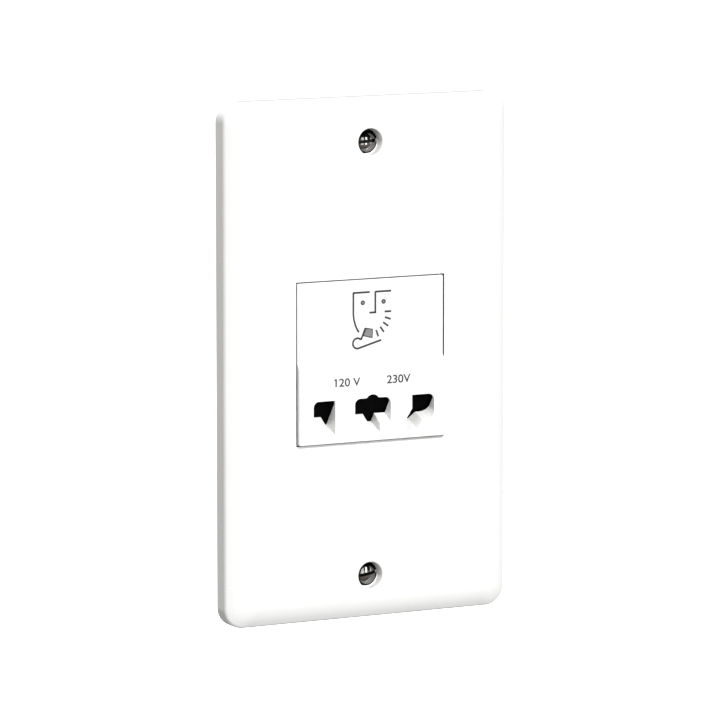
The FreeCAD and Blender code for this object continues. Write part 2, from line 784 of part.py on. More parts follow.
def make_contact_carrier():
    carrier = new_body("contact_carrier")
    add(carrier, "cheeks", [centred_box(CARRIER_HALF, CARRIER_HALF)], FLANGE_BACK, CHEEK_BACK)
    window = box(-CHEEK_INSIDE, BRIDGE_TOP, CHEEK_INSIDE, CARRIER_HALF - dim.cheek_wall)
    passage = box(-CHEEK_INSIDE, BLOCK_BOTTOM, CHEEK_INSIDE, BRIDGE_BOTTOM)
    cut(carrier, "windows", [window, passage], FLANGE_BACK, CHEEK_BACK)
    bridge_back = STEM_BACK + dim.bridge_height
    upper_bars = box(-CHEEK_INSIDE, BRIDGE_BOTTOM, CHEEK_INSIDE, CARRIER_HALF)
    cut(carrier, "bridge_relief", [upper_bars], bridge_back, CHEEK_BACK)
    guides = box(-GUIDE_HALF, WING_BOTTOM - dim.slide_gap, GUIDE_HALF, BRIDGE_BOTTOM)
    cut(carrier, "shutter_guides", [guides], FLANGE_BACK, STEM_BACK + dim.slide_gap)
    block = box(-CARRIER_HALF, BLOCK_BOTTOM, CARRIER_HALF, BLOCK_TOP)
    add(carrier, "contact_block", [block], BLOCK_FRONT, BLOCK_BACK)
    spans = chamber_spans().values()
    chambers = [box(low, CHAMBER_BOTTOM, high, CHAMBER_TOP) for low, high in spans]
    cut(carrier, "chambers", chambers, BLOCK_FRONT, CHAMBER_BACK)
    half_slot = dim.tail_width / 2 + dim.contact_gap
    half_gap = dim.contact_strip / 2 + dim.contact_gap
    slots = []
    for low, high in spans:
        middle = (low + high) / 2
        slots.append(box(middle - half_slot, TAIL_Z - half_gap, middle + half_slot, TAIL_Z + half_gap))
    cut(carrier, "tail_slots", slots, CHAMBER_BACK, BLOCK_BACK)
    lugs = []
    for x in both_signs(dim.lug_x):
        lugs.append(box(x - dim.lug_half, CARRIER_HALF - dim.cheek_wall, x + dim.lug_half, LUG_END))
        lugs.append(box(x - dim.lug_half, -LUG_END, x + dim.lug_half, dim.cheek_wall - CARRIER_HALF))
    add(carrier, "lugs", lugs, WALL, dim.lug_thickness)
    holes = [disc(x, z, dim.screw_hole / 2) for x in both_signs(dim.lug_x) for z in both_signs(LUG_Z)]
    cut(carrier, "lug_holes", holes, WALL, dim.lug_thickness)
    peg_radius = (dim.spring_mean - dim.spring_wire) / 2 - dim.peg_clearance
    spring_peg = disc(0, (SHUTTER_FRONT + STEM_BACK) / 2, peg_radius)
    add(carrier, "spring_peg", [spring_peg], BRIDGE_BOTTOM - dim.peg_length, BRIDGE_BOTTOM, "XY_Plane")
    pegs = [disc(SWITCH_PEG_Y, z, dim.switch_peg / 2) for z in switch_peg_levels()]
    add(carrier, "switch_pegs", pegs, SWITCH_LEFT, CHEEK_INSIDE, "YZ_Plane")
    return carrier


SWITCH_PEG_Y = SWITCH_FRONT + dim.switch_height - dim.switch_peg_inset


def switch_peg_levels():
    middle = SWITCH_Z + dim.switch_length / 2
    return [middle - dim.switch_peg_pitch / 2, middle + dim.switch_peg_pitch / 2]


# Contacts: bent strips whose two leaves narrow to a throat and grip a pin or a blade.
def make_contact(label, low, high):
    contact = new_body(label)
    strip = dim.contact_strip
    mouth = BLOCK_FRONT + dim.contact_gap
    heel = CHAMBER_BACK - dim.contact_gap
    throat = mouth + (heel - mouth) * dim.contact_throat_place
    top = CHAMBER_TOP - dim.contact_mouth
    bottom = CHAMBER_BOTTOM + dim.contact_mouth
    pin_level = APERTURE_TOP - dim.band_throat / 2
    upper = pin_level + dim.contact_throat / 2
    lower = pin_level - dim.contact_throat / 2
    leaves = outline(
        [
            (mouth, top),
            (throat, upper + strip),
            (heel, upper + strip),
            (heel, lower - strip),
            (throat, lower - strip),
            (mouth, bottom),
            (mouth, bottom + strip),
            (throat, lower),
            (heel - strip, lower),
            (heel - strip, upper),
            (throat, upper),
            (mouth, top - strip),
        ]
    )
    add(contact, "leaves", [leaves], low + dim.contact_gap, high - dim.contact_gap, "YZ_Plane")
    middle = (low + high) / 2
    half = dim.tail_width / 2
    tail = box(middle - half, TAIL_Z - strip / 2, middle + half, TAIL_Z + strip / 2)
    add(contact, "tail", [tail], heel - strip / 2, BLOCK_BACK + dim.tail_reach)
    return contact


# Microswitch: it sits on two pegs of the carrier and its plunger rides the shutter's ramp.
def make_microswitch():
    switch_top = SWITCH_Z + dim.switch_length
    switch_back = SWITCH_FRONT + dim.switch_height
    case = new_body("microswitch_body")
    add(case, "case", [box(SWITCH_LEFT, SWITCH_Z, CHEEK_INSIDE, switch_top)], SWITCH_FRONT, switch_back)
    holes = [disc(SWITCH_PEG_Y, z, dim.switch_peg / 2 + dim.peg_clearance) for z in switch_peg_levels()]
    cut(case, "peg_holes", holes, SWITCH_LEFT, CHEEK_INSIDE, "YZ_Plane")
    half_width = dim.plunger_width / 2
    half_height = dim.plunger_height / 2
    gap = dim.peg_clearance
    well = box(
        PLUNGER_X - half_width - gap,
        PLUNGER_Z - half_height - gap,
        PLUNGER_X + half_width + gap,
        PLUNGER_Z + half_height + gap,
    )
    well_depth = dim.plunger_depth + dim.plunger_travel + gap
    cut(case, "plunger_well", [well], SWITCH_FRONT, SWITCH_FRONT + well_depth)

    plunger = new_body("microswitch_plunger")
    tip = STEM_BACK - dim.plunger_travel + dim.plunger_gap
    button = box(
        PLUNGER_X - half_width,
        PLUNGER_Z - half_height,
        PLUNGER_X + half_width,
        PLUNGER_Z + half_height,
    )
    add(plunger, "button", [button], tip, SWITCH_FRONT + dim.plunger_depth)

    blades = new_body("switch_terminals")
    middle = SWITCH_Z + dim.switch_length / 2
    rows = []
    for step in (-1, 0, 1):
        level = middle + dim.switch_blade_pitch * step
        half = dim.switch_blade_width / 2
        thin = dim.switch_blade / 2
        rows.append(box(PLUNGER_X - half, level - thin, PLUNGER_X + half, level + thin))
    add(blades, "blades", rows, switch_back, switch_back + dim.switch_blade_reach)
    return [case, plunger, blades]


# Transformer: a laminated core screwed to the housing, a split bobbin and its two windings.
COIL_DEPTH = dim.core_stack + dim.coil_build * 2
CORE_Y = dim.hump_depth - dim.housing_wall - dim.housing_gap - COIL_DEPTH / 2
CORE_FRONT = CORE_Y - dim.core_stack / 2
CORE_BACK = CORE_Y + dim.core_stack / 2
HUMP_TOP = dim.housing_top - dim.hump_inset
CORE_Z = HUMP_TOP - dim.housing_wall - dim.core_gap - dim.core_length / 2
HUMP_BOTTOM = CORE_Z - dim.core_length / 2 - dim.core_gap - dim.housing_wall
HUMP_HALF = dim.core_width / 2 + dim.core_gap + dim.housing_wall
LEG_HALF = dim.core_leg / 2
WINDOW_HALF = dim.core_width / 2 - LEG_HALF
WINDOW_OUTSIDE = dim.core_length / 2 - LEG_HALF


def core_hole_places():
    across = dim.core_width / 2 - dim.core_hole_inset
    up = dim.core_length / 2 - dim.core_hole_inset
    return [(x, CORE_Z + z) for x in both_signs(across) for z in both_signs(up)]


def make_transformer():
    core = new_body("transformer_core")
    half_width = dim.core_width / 2
    half_length = dim.core_length / 2
    whole = box(-half_width, CORE_Z - half_length, half_width, CORE_Z + half_length)
    add(core, "stack", [whole], CORE_FRONT, CORE_BACK)
    windows = [
        box(-WINDOW_HALF, CORE_Z + LEG_HALF, WINDOW_HALF, CORE_Z + WINDOW_OUTSIDE),
        box(-WINDOW_HALF, CORE_Z - WINDOW_OUTSIDE, WINDOW_HALF, CORE_Z - LEG_HALF),
    ]
    cut(core, "windows", windows, CORE_FRONT, CORE_BACK)
    holes = [disc(x, z, dim.core_hole / 2) for x, z in core_hole_places()]
    cut(core, "corner_holes", holes, CORE_FRONT, CORE_BACK)

    # The bobbin's tube wraps the middle leg, which runs along X, and three flanges divide it.
    bobbin = new_body("transformer_bobbin")
    gap = dim.bobbin_gap
    wall = dim.bobbin_wall
    hole_y = dim.core_stack / 2 + gap
    hole_z = LEG_HALF + gap
    tube_y = hole_y + wall
    tube_z = hole_z + wall
    rim_y = COIL_DEPTH / 2
    rim_z = WINDOW_OUTSIDE - gap
    end = WINDOW_HALF - gap

    def ring(half_y, half_z):
        return box(CORE_Y - half_y, CORE_Z - half_z, CORE_Y + half_y, CORE_Z + half_z)

    add(bobbin, "tube", [ring(tube_y, tube_z)], -end, end, "YZ_Plane")
    for name, start in (("left_flange", -end), ("divider", -wall / 2), ("right_flange", end - wall)):
        add(bobbin, name, [ring(rim_y, rim_z)], start, start + wall, "YZ_Plane")
    cut(bobbin, "leg_hole", [ring(hole_y, hole_z)], -end, end, "YZ_Plane")

    made = [core, bobbin]
    inset = dim.winding_inset
    spans = {"primary_winding": (wall - end, -wall / 2), "secondary_winding": (wall / 2, end - wall)}
    for label, (start, stop) in spans.items():
        winding = new_body(label)
        outside = ring(rim_y - inset, rim_z - inset)
        add(winding, "turns", [outside, ring(tube_y, tube_z)], start, stop, "YZ_Plane")
        corner_y = (rim_y - inset).number
        corner_z = (rim_z - inset).number

        def on_outer_corner(edge):
            middle = edge.CenterOfMass
            far_y = abs(abs(middle.y - CORE_Y.number) - corner_y) < NEAR
            far_z = abs(abs(middle.z - CORE_Z.number) - corner_z) < NEAR
            return far_y and far_z

        finish_edges(winding, "Fillet", "outer_turns", on_outer_corner, dim.coil_build / 2)
        made.append(winding)

    cutout = new_body("thermal_cutout")
    start = WINDOW_HALF + dim.core_gap
    half = dim.cutout_length / 2
    shape = rounded_box(start, CORE_Z - half, start + dim.cutout_width, CORE_Z + half, dim.cutout_width / 4)
    add(cutout, "case", [shape], CORE_BACK, CORE_BACK + dim.cutout_depth)
    made.append(cutout)
    return made


# Supply terminals: a moulded block below the housing, with brass pillars and clamping screws.
TERMINAL_TOP = HOUSING_BOTTOM - dim.terminal_gap
TERMINAL_BOTTOM = TERMINAL_TOP - dim.terminal_height
TERMINAL_HALF = dim.terminal_pitch * 1.5
PILLAR_FRONT = dim.terminal_base
PILLAR_BACK = PILLAR_FRONT + dim.pillar_depth
WIRE_Y = PILLAR_FRONT + dim.pillar_depth / 2
LEAD_Y = WIRE_Y - dim.lead_diameter / 2 - dim.peg_clearance


def terminal_places():
    return [dim.terminal_pitch * step for step in (-1, 0, 1)]


def make_terminals():
    block = new_body("terminal_block")
    low = TERMINAL_BOTTOM
    add(block, "block", [box(-TERMINAL_HALF, low, TERMINAL_HALF, TERMINAL_TOP)], WALL, dim.terminal_depth)
    lugs = []
    for x in both_signs(dim.terminal_lug_x):
        lugs.append(box(x - dim.lug_half, low - dim.lug_half * 2, x + dim.lug_half, low))
    add(block, "lugs", lugs, WALL, dim.lug_thickness)
    lug_level = low - dim.lug_half
    cut(
        block,
        "lug_holes",
        [disc(x, lug_level, dim.screw_hole / 2) for x in both_signs(dim.terminal_lug_x)],
        WALL,
        dim.lug_thickness,
    )
    half = dim.pillar_width / 2
    gap = dim.contact_gap
    wells = []
    reach = half + gap
    for x in terminal_places():
        wells.append(box(x - reach, low + dim.terminal_wall, x + reach, TERMINAL_TOP - dim.terminal_wall))
    cut(block, "pillar_wells", wells, PILLAR_FRONT, dim.terminal_depth)
    mouths = [disc(x, WIRE_Y, dim.wire_bore / 2 + gap) for x in terminal_places()]
    cut(block, "wire_mouths", mouths, low, low + dim.terminal_wall, "XY_Plane")
    exits = [disc(x, LEAD_Y, dim.lead_hole / 2) for x in both_signs(dim.terminal_pitch)]
    cut(block, "lead_exits", exits, TERMINAL_TOP - dim.terminal_wall, TERMINAL_TOP, "XY_Plane")

    pillars = new_body("terminal_pillars")
    bottom = low + dim.terminal_wall + gap
    top = TERMINAL_TOP - dim.terminal_wall - gap
    blanks = [box(x - half, bottom, x + half, top) for x in terminal_places()]
    add(pillars, "pillars", blanks, PILLAR_FRONT, PILLAR_BACK)
    bores = [disc(x, WIRE_Y, dim.wire_bore / 2) for x in terminal_places()]
    cut(pillars, "wire_bores", bores, bottom, top, "XY_Plane")
    screw_level = (bottom + top) / 2
    taps = [disc(x, screw_level, dim.terminal_thread / 2 + dim.peg_clearance) for x in terminal_places()]
    cut(pillars, "screw_taps", taps, WIRE_Y, PILLAR_BACK)

    screws = new_body("terminal_screws")
    head_back = PILLAR_BACK + dim.screw_head_height
    shanks = [disc(x, screw_level, dim.terminal_thread / 2) for x in terminal_places()]
    add(screws, "shanks", shanks, WIRE_Y, PILLAR_BACK)
    heads = [disc(x, screw_level, dim.terminal_head / 2) for x in terminal_places()]
    add(screws, "heads", heads, PILLAR_BACK, head_back)
    half_slot = dim.screw_slot / 2
    slots = []
    for x in terminal_places():
        reach = dim.terminal_head
        slots.append(box(x - reach, screw_level - half_slot, x + reach, screw_level + half_slot))
    cut(screws, "slots", slots, head_back - dim.screw_head_height / 2, head_back)
    return [block, pillars, screws]


# Rear housing: a stepped cover, a tray over the mechanism and a deeper hump over the transformer.
VENT_ROWS = 6


def make_rear_housing():
    housing = new_body("rear_housing")
    corner = dim.housing_corner
    wall = dim.housing_wall
    tray = rounded_box(-TRAY_HALF, HOUSING_BOTTOM, TRAY_HALF, dim.housing_top, corner)
    add(housing, "tray", [tray], CEILING, dim.tray_depth)
    hump = rounded_box(-HUMP_HALF, HUMP_BOTTOM, HUMP_HALF, HUMP_TOP, corner)
    add(housing, "hump", [hump], dim.tray_depth - wall, dim.hump_depth)

    def on_back_edge(edge):
        box_of = edge.BoundBox
        flat = box_of.YMax - box_of.YMin < NEAR
        on_hump = abs(box_of.YMax - dim.hump_depth.number) < NEAR
        outside = max(abs(box_of.XMin), abs(box_of.XMax)) > HUMP_HALF.number + NEAR
        outside = outside or box_of.ZMax > HUMP_TOP.number + NEAR or box_of.ZMin < HUMP_BOTTOM.number - NEAR
        on_tray = abs(box_of.YMax - dim.tray_depth.number) < NEAR and outside
        return flat and (on_hump or on_tray)

    finish_edges(housing, "Fillet", "back_edge_rounding", on_back_edge, dim.housing_edge_round)
    inner = corner - wall
    tray_side = TRAY_HALF - wall
    tray_inside = rounded_box(-tray_side, HOUSING_BOTTOM + wall, tray_side, dim.housing_top - wall, inner)
    cut(housing, "tray_hollow", [tray_inside], CEILING, dim.tray_depth - wall)
    hump_side = HUMP_HALF - wall
    hump_inside = rounded_box(-hump_side, HUMP_BOTTOM + wall, hump_side, HUMP_TOP - wall, inner)
    cut(housing, "hump_hollow", [hump_inside], dim.tray_depth - wall, dim.hump_depth - wall)

    posts = [disc(x, z, dim.core_post / 2) for x, z in core_hole_places()]
    add(housing, "core_posts", posts, CORE_BACK, dim.hump_depth - wall)
    pilots = [disc(x, z, dim.screw_pilot / 2) for x, z in core_hole_places()]
    cut(housing, "post_pilots", pilots, CORE_BACK, CORE_BACK + dim.screw_bite + dim.housing_gap)

    entries = [disc(x, LEAD_Y, dim.lead_hole / 2) for x in both_signs(dim.terminal_pitch)]
    cut(housing, "lead_entries", entries, HOUSING_BOTTOM, HOUSING_BOTTOM + wall, "XY_Plane")
    vents = []
    for row in range(VENT_ROWS):
        low = CORE_Z + dim.vent_pitch * (row - (VENT_ROWS - 1) / 2) - dim.vent_slot / 2
        high = low + dim.vent_slot
        vents.append(rounded_box(dim.vent_inner, low, dim.vent_outer, high, dim.vent_slot / 4))
        vents.append(rounded_box(-dim.vent_outer, low, -dim.vent_inner, high, dim.vent_slot / 4))
    cut(housing, "vents", vents, dim.hump_depth - wall, dim.hump_depth)

    ears = []
    for x in both_signs(dim.ear_x):
        top = dim.housing_top - wall
        bottom = HOUSING_BOTTOM + wall
        reach = dim.ear_offset + dim.ear_half
        ears.append(box(x - dim.ear_half, top, x + dim.ear_half, dim.housing_top + reach))
        ears.append(box(x - dim.ear_half, HOUSING_BOTTOM - reach, x + dim.ear_half, bottom))
    add(housing, "ears", ears, WALL, dim.ear_thickness)
    holes = []
    for x in both_signs(dim.ear_x):
        holes.append(disc(x, dim.housing_top + dim.ear_offset, dim.screw_hole / 2))
        holes.append(disc(x, HOUSING_BOTTOM - dim.ear_offset, dim.screw_hole / 2))
    cut(housing, "ear_holes", holes, WALL, dim.ear_thickness)
    return housing


# Leads: insulated wires with straight runs and tangent arcs, held by what they are fastened to.
ARC_SHARE = 0.45


def lead_path(spots):
    """A wire through the spots, with an arc at each inner one as large as its shorter run allows."""
    edges = []
    start = spots[0]
    for before, corner, after in zip(spots, spots[1:], spots[2:]):
        arriving = (corner - before).normalize()
        leaving = (after - corner).normalize()
        half_turn = arriving.getAngle(leaving) / 2
        trim = ARC_SHARE * min((corner - before).Length, (after - corner).Length)
        radius = trim / math.tan(half_turn)
        inward = (leaving - arriving).normalize()
        arc_start = corner - arriving * trim
        arc_end = corner + leaving * trim
        arc_middle = corner + inward * (radius / math.cos(half_turn) - radius)
        edges.append(Part.LineSegment(start, arc_start).toShape())
        edges.append(Part.Arc(arc_start, arc_middle, arc_end).toShape())
        start = arc_end
    edges.append(Part.LineSegment(start, spots[-1]).toShape())
    return Part.Wire(edges)


def make_leads(label, routes):
    tubes = []
    for route in routes:
        spots = [Vector(*(as_size(place).number for place in point)) for point in route]
        path = lead_path(spots)
        circle = Part.Circle(spots[0], spots[1] - spots[0], (dim.lead_diameter / 2).number)
        section = Part.Wire([circle.toShape()])
        tube = path.makePipeShell([section], True, True)
        plain_volume = Part.Face(section).Area * path.Length
        bends = [edge.Curve.Radius for edge in path.Edges if hasattr(edge.Curve, "Radius")]
        volume_share = round(tube.Volume / plain_volume, 4)
        print(label, "tightest bend", round(min(bends), 2), "volume share", volume_share)
        tubes.append(tube)
    made = doc.addObject("Part::Feature", label)
    made.Label = label
    made.Shape = Part.makeCompound(tubes)
    return made


def make_all_leads():
    coil_front = CORE_Y - COIL_DEPTH / 2
    coil_bottom = CORE_Z - WINDOW_OUTSIDE + dim.bobbin_gap + dim.winding_inset
    coil_middle = WINDOW_HALF / 2
    drop_y = CORE_FRONT - dim.lead_diameter / 2 - dim.lead_room
    behind_tails = BLOCK_BACK + dim.tail_reach + dim.lead_diameter / 2 + dim.lead_room
    over_block = BLOCK_TOP + dim.lead_room
    under_core = CORE_Z - dim.core_length / 2 - dim.lead_diameter / 2 - dim.lead_room
    tail_top = TAIL_Z + dim.contact_strip / 2
    tail_y = BLOCK_BACK + dim.tail_reach / 2

    # The secondary winding's taps come down in front of the core and fan out to the contacts' tails.
    secondary = []
    for step, (low, high) in zip((-1, 0, 1), chamber_spans().values()):
        tap = coil_middle + dim.tap_pitch * step
        tail = (low + high) / 2
        secondary.append(
            [
                (tap, drop_y, coil_bottom),
                (tap, drop_y, over_block),
                (tail, tail_y, over_block),
                (tail, tail_y, tail_top),
            ]
        )

    # The supply comes up from its terminals behind the contact block, to the switch and to the coil.
    pillar_level = TERMINAL_TOP - dim.terminal_height / 2
    inside = HOUSING_BOTTOM + dim.housing_wall + dim.lead_turn_room
    blade_y = CHEEK_BACK + dim.switch_blade_reach - dim.lead_diameter
    blade_middle = SWITCH_Z + dim.switch_length / 2
    lowest_blade = blade_middle - dim.switch_blade_pitch - dim.switch_blade / 2
    highest_blade = blade_middle + dim.switch_blade_pitch + dim.switch_blade / 2
    live = [
        (dim.terminal_pitch, LEAD_Y, pillar_level),
        (dim.terminal_pitch, LEAD_Y, inside),
        (dim.terminal_pitch, behind_tails, BLOCK_BOTTOM),
        (PLUNGER_X, behind_tails, over_block),
        (PLUNGER_X, blade_y, over_block),
        (PLUNGER_X, blade_y, lowest_blade),
    ]
    neutral = [
        (-dim.terminal_pitch, LEAD_Y, pillar_level),
        (-dim.terminal_pitch, LEAD_Y, inside),
        (-dim.terminal_pitch, behind_tails, BLOCK_BOTTOM),
        (-coil_middle, behind_tails, under_core),
        (-coil_middle, drop_y, under_core),
        (-coil_middle, drop_y, coil_bottom),
    ]
    link_y = STEM_BACK + dim.bridge_height + dim.lead_diameter / 2 + dim.lead_room / 2
    link_z = BRIDGE_TOP + dim.lead_turn_room
    winding_front = coil_front + dim.winding_inset
    link = [
        (PLUNGER_X, blade_y, highest_blade),
        (PLUNGER_X, blade_y, BRIDGE_TOP),
        (WINDOW_HALF, link_y, link_z),
        (-coil_middle, link_y, link_z + dim.lead_room),
        (-coil_middle, winding_front, link_z + dim.lead_room),
    ]
    return [make_leads("primary_leads", [live, neutral, link]), make_leads("secondary_leads", secondary)]


# Screws: fixing screws with raised countersunk heads, and plain cheese-head screws inside.
DOME_STEPS = 6


def make_fixing_screw(label, level, turn_degrees):
    screw = new_body(label)
    bind(screw, "Placement.Base.z", level)
    screw.Placement.Rotation = FreeCAD.Rotation(Vector(0, 1, 0), turn_degrees)
    head = dim.fixing_head / 2
    neck = dim.fixing_neck / 2
    thread = dim.fixing_thread / 2
    rim = FACE + dim.counterbore_depth
    under_head = rim + head - neck
    tip = rim + dim.fixing_length
    dome = rim - dim.fixing_head_dome
    profile = new_sketch(screw, "YZ_Plane", "profile", 0)
    crown = []
    for step in range(DOME_STEPS):
        share = step / DOME_STEPS
        crown.append((dome + dim.fixing_head_dome * share**2, head * share))
    corners = crown + [
        (rim, head),
        (under_head, neck),
        (WALL, neck),
        (WALL, thread),
        (tip - thread / 2, thread),
        (tip, thread / 2),
        (tip, 0),
    ]
    outline(corners)(profile)
    turned = screw.newObject("PartDesign::Revolution", "turned")
    turned.Profile = profile
    turned.ReferenceAxis = (origin_feature(screw, "Y_Axis"), [""])
    half = dim.fixing_slot / 2
    slot = box(-dim.fixing_head, -half, dim.fixing_head, half)
    cut(screw, "slot", [slot], dome - dim.fixing_slot_depth, dome + dim.fixing_slot_depth)
    return screw


def make_cheese_head(label, x, z, seat, tip, thread):
    """A cheese-head screw whose head stands on a seat and whose shank points at the tip."""
    screw = new_body(label)
    seat = as_size(seat)
    tip = as_size(tip)
    head_end = seat + dim.screw_head_height if seat.number > tip.number else seat - dim.screw_head_height
    levels = sorted((seat, tip), key=lambda size: size.number)
    add(screw, "shank", [disc(x, z, thread / 2)], *levels)
    levels = sorted((seat, head_end), key=lambda size: size.number)
    add(screw, "head", [disc(x, z, dim.screw_head / 2)], *levels)
    slot_levels = sorted((head_end, (seat + head_end) / 2), key=lambda size: size.number)
    half = dim.screw_slot / 2
    cut(screw, "slot", [box(x - dim.screw_head, z - half, x + dim.screw_head, z + half)], *slot_levels)
    return screw


def group(label, bodies):
    made = doc.addObject("Part::Compound", label)
    made.Label = label
    made.Links = bodies
    return made


def make_screws():
    turns = (0.0, sheet.get("lower_slot_turn_degrees"))
    fixing = []
    for name, level, turn in zip(("upper", "lower"), (FIXING_Z, -FIXING_Z), turns):
        fixing.append(make_fixing_screw(f"fixing_screw_{name}", level, -turn))
    into_plate = []
    for count, (x, z) in enumerate(screw_places(), 1):
        name = f"assembly_screw_{count}"
        into_plate.append(make_cheese_head(name, x, z, dim.lug_thickness, -dim.screw_bite, dim.screw_thread))
    into_core = []
    for count, (x, z) in enumerate(core_hole_places(), 1):
        tip = CORE_BACK + dim.screw_bite
        into_core.append(make_cheese_head(f"core_screw_{count}", x, z, CORE_FRONT, tip, dim.screw_thread))
    return [
        group("fixing_screws", fixing),
        group("assembly_screws", into_plate),
        group("core_screws", into_core),
    ]


nodes = [make_front_plate(), make_socket_insert()]
nodes += [make_shutter(), make_shutter_spring(), make_contact_carrier()]
nodes += [make_contact(label, low, high) for label, (low, high) in chamber_spans().items()]
nodes += make_microswitch()
nodes += make_transformer()
nodes += make_terminals()
nodes.append(make_rear_housing())
nodes += make_all_leads()
nodes += make_screws()
doc.recompute()

for made in doc.Objects:
    if "Invalid" in made.State or "Error" in made.State:
        raise RuntimeError(f"{made.Label} did not build: {made.State}")
os.makedirs("parts", exist_ok=True)
for node in nodes:
    if node.Shape.isNull() or not node.Shape.isValid():
        raise RuntimeError(f"{node.Label} has no valid shape")
    node.Shape.exportStep(f"parts/{node.Label}.step")
    print(node.Label, len(node.Shape.Solids), round(node.Shape.Volume, 1))
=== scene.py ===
# %% [markdown]
# # A shaver socket, dressed over its solid model
# The solid model gives every piece its size and place. This lesson gives each of them a finish, adds what
# is too fine for solids (print and threads), winds a coil in place of the solid spring, and sets up the
# studio.

# %% Load the frame
import math

import bpy
from mathutils import Matrix, Vector


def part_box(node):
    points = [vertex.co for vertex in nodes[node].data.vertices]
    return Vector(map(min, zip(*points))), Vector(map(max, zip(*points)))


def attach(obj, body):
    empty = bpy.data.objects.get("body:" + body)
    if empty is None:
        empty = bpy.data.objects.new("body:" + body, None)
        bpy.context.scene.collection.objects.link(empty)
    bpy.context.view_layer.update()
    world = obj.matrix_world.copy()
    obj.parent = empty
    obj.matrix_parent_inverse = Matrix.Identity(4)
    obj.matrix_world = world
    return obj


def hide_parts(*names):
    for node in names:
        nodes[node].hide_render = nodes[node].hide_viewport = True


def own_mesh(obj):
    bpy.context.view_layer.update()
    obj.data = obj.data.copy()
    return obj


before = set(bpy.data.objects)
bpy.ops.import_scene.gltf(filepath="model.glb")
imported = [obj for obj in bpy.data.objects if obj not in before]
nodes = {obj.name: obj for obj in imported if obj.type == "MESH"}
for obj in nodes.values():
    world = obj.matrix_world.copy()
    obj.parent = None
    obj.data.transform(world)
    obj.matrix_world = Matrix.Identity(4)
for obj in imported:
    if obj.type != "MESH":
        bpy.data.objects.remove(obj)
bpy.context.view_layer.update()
MM = 0.001
BODY = "socket"
print("frame loaded with", len(nodes), "pieces")

# %% [markdown]
# ## Where things are
# Depths are read from the solid model's own boxes, so that the print and the screws stay on their
# surfaces when a size in the model changes. The wall is at zero and the front faces -Y, so a piece's
# front is the lowest Y of its box.

# %% Levels read from the model
FACE_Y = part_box("front_plate")[0][1]
RAISED_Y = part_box("socket_insert")[0][1]
print("plate front at", round(FACE_Y / MM, 2), "mm, raised half at", round(RAISED_Y / MM, 2), "mm")

# %% [markdown]
# ## Working as by hand
# Blender's operators act on whatever is selected. Each helper here starts by clearing the
# selection, so that a new piece never drags an older one along with it.


# %% Selection helpers
def only(piece):
    """Select one object and make it the active one."""
    if bpy.context.object and bpy.context.object.mode != "OBJECT":
        bpy.ops.object.mode_set(mode="OBJECT")
    bpy.ops.object.select_all(action="DESELECT")
    piece.select_set(True)
    bpy.context.view_layer.objects.active = piece


def settle(piece):
    """Put an object's place into its mesh, so that the object sits at the origin."""
    only(piece)
    bpy.ops.object.transform_apply(location=True, rotation=True, scale=True)


def apply_modifier(piece, kind, **settings):
    """Add a modifier, set it and apply it."""
    only(piece)
    made = piece.modifiers.new(kind.lower(), kind)
    for key, value in settings.items():
        setattr(made, key, value)
    bpy.ops.object.modifier_apply(modifier=made.name)


def join(pieces, name):
    """Make several objects into one with the given name."""
    only(pieces[0])
    for piece in pieces:
        piece.select_set(True)
    bpy.ops.object.join()
    joined = bpy.context.object
    joined.name = name
    joined.data.name = name
    settle(joined)
    return joined


def smooth(piece, degrees):
    """Shade a piece smoothly, with sharp edges past the given angle."""
    only(piece)
    bpy.ops.object.shade_smooth_by_angle(angle=math.radians(degrees))


print("selection helpers ready")

# %% [markdown]
# ## Drawing with one vertex
# A small plane merged to its centre leaves a single vertex. Extruded from place to place it draws a
# wire, which can then be raised, filled or spun. A shell made that way is closed and turned outwards
# before it is used.

# %% Wire helpers
SEED_SIZE = 0.1 * MM
MERGE_REACH = 0.001 * MM


def chain(places):
    """Draw a wire through the places, and stay in edit mode."""
    bpy.ops.object.select_all(action="DESELECT")
    bpy.ops.mesh.primitive_plane_add(size=SEED_SIZE, location=places[0])
    piece = bpy.context.object
    settle(piece)
    bpy.ops.object.mode_set(mode="EDIT")
    bpy.ops.mesh.select_all(action="SELECT")
    bpy.ops.mesh.merge(type="CENTER")
    for start, end in zip(places, places[1:]):
        bpy.ops.mesh.extrude_region_move(TRANSFORM_OT_translate={"value": end - start})
    return piece


def close_shell(piece):
    """Merge doubles, cap open ends and turn all faces outwards."""
    only(piece)
    bpy.ops.object.mode_set(mode="EDIT")
    bpy.ops.mesh.select_all(action="SELECT")
    bpy.ops.mesh.remove_doubles(threshold=MERGE_REACH)
    bpy.ops.mesh.fill_holes(sides=0)
    bpy.ops.mesh.select_all(action="SELECT")
    bpy.ops.mesh.normals_make_consistent(inside=False)
    bpy.ops.object.mode_set(mode="OBJECT")


print("wire helpers ready")

# %% [markdown]
# ## Shared surface effects
# Moulded plastic, rolled strip and plated steel all vary a little over their surface. Two small
# node groups give that. Each is built once, and every material sets its own values on it.


# %% Group maker
def new_group(name, inputs, outputs):
    """Make an empty node group with the given sockets."""
    group = bpy.data.node_groups.new(name, "ShaderNodeTree")
    for label, kind, value in inputs:
        socket = group.interface.new_socket(label, in_out="INPUT", socket_type=kind)
        if value is not None:
            socket.default_value = value
    for label, kind in outputs:
        group.interface.new_socket(label, in_out="OUTPUT", socket_type=kind)
    return group, group.nodes.new("NodeGroupInput"), group.nodes.new("NodeGroupOutput")


print("group maker ready")

# %% [markdown]
# ## Soft patches
# No moulding or plating is of one even colour. A picture of a real surface could give that, but noise
# that mixes two close colours does it without a picture and at any scale.

# %% Soft patches
PATCH_DETAIL = 3.0
# A Mix node set to colours keeps its sockets at these places.
MIX_SHARE, MIX_FIRST, MIX_SECOND, MIX_RESULT = 0, 6, 7, 2


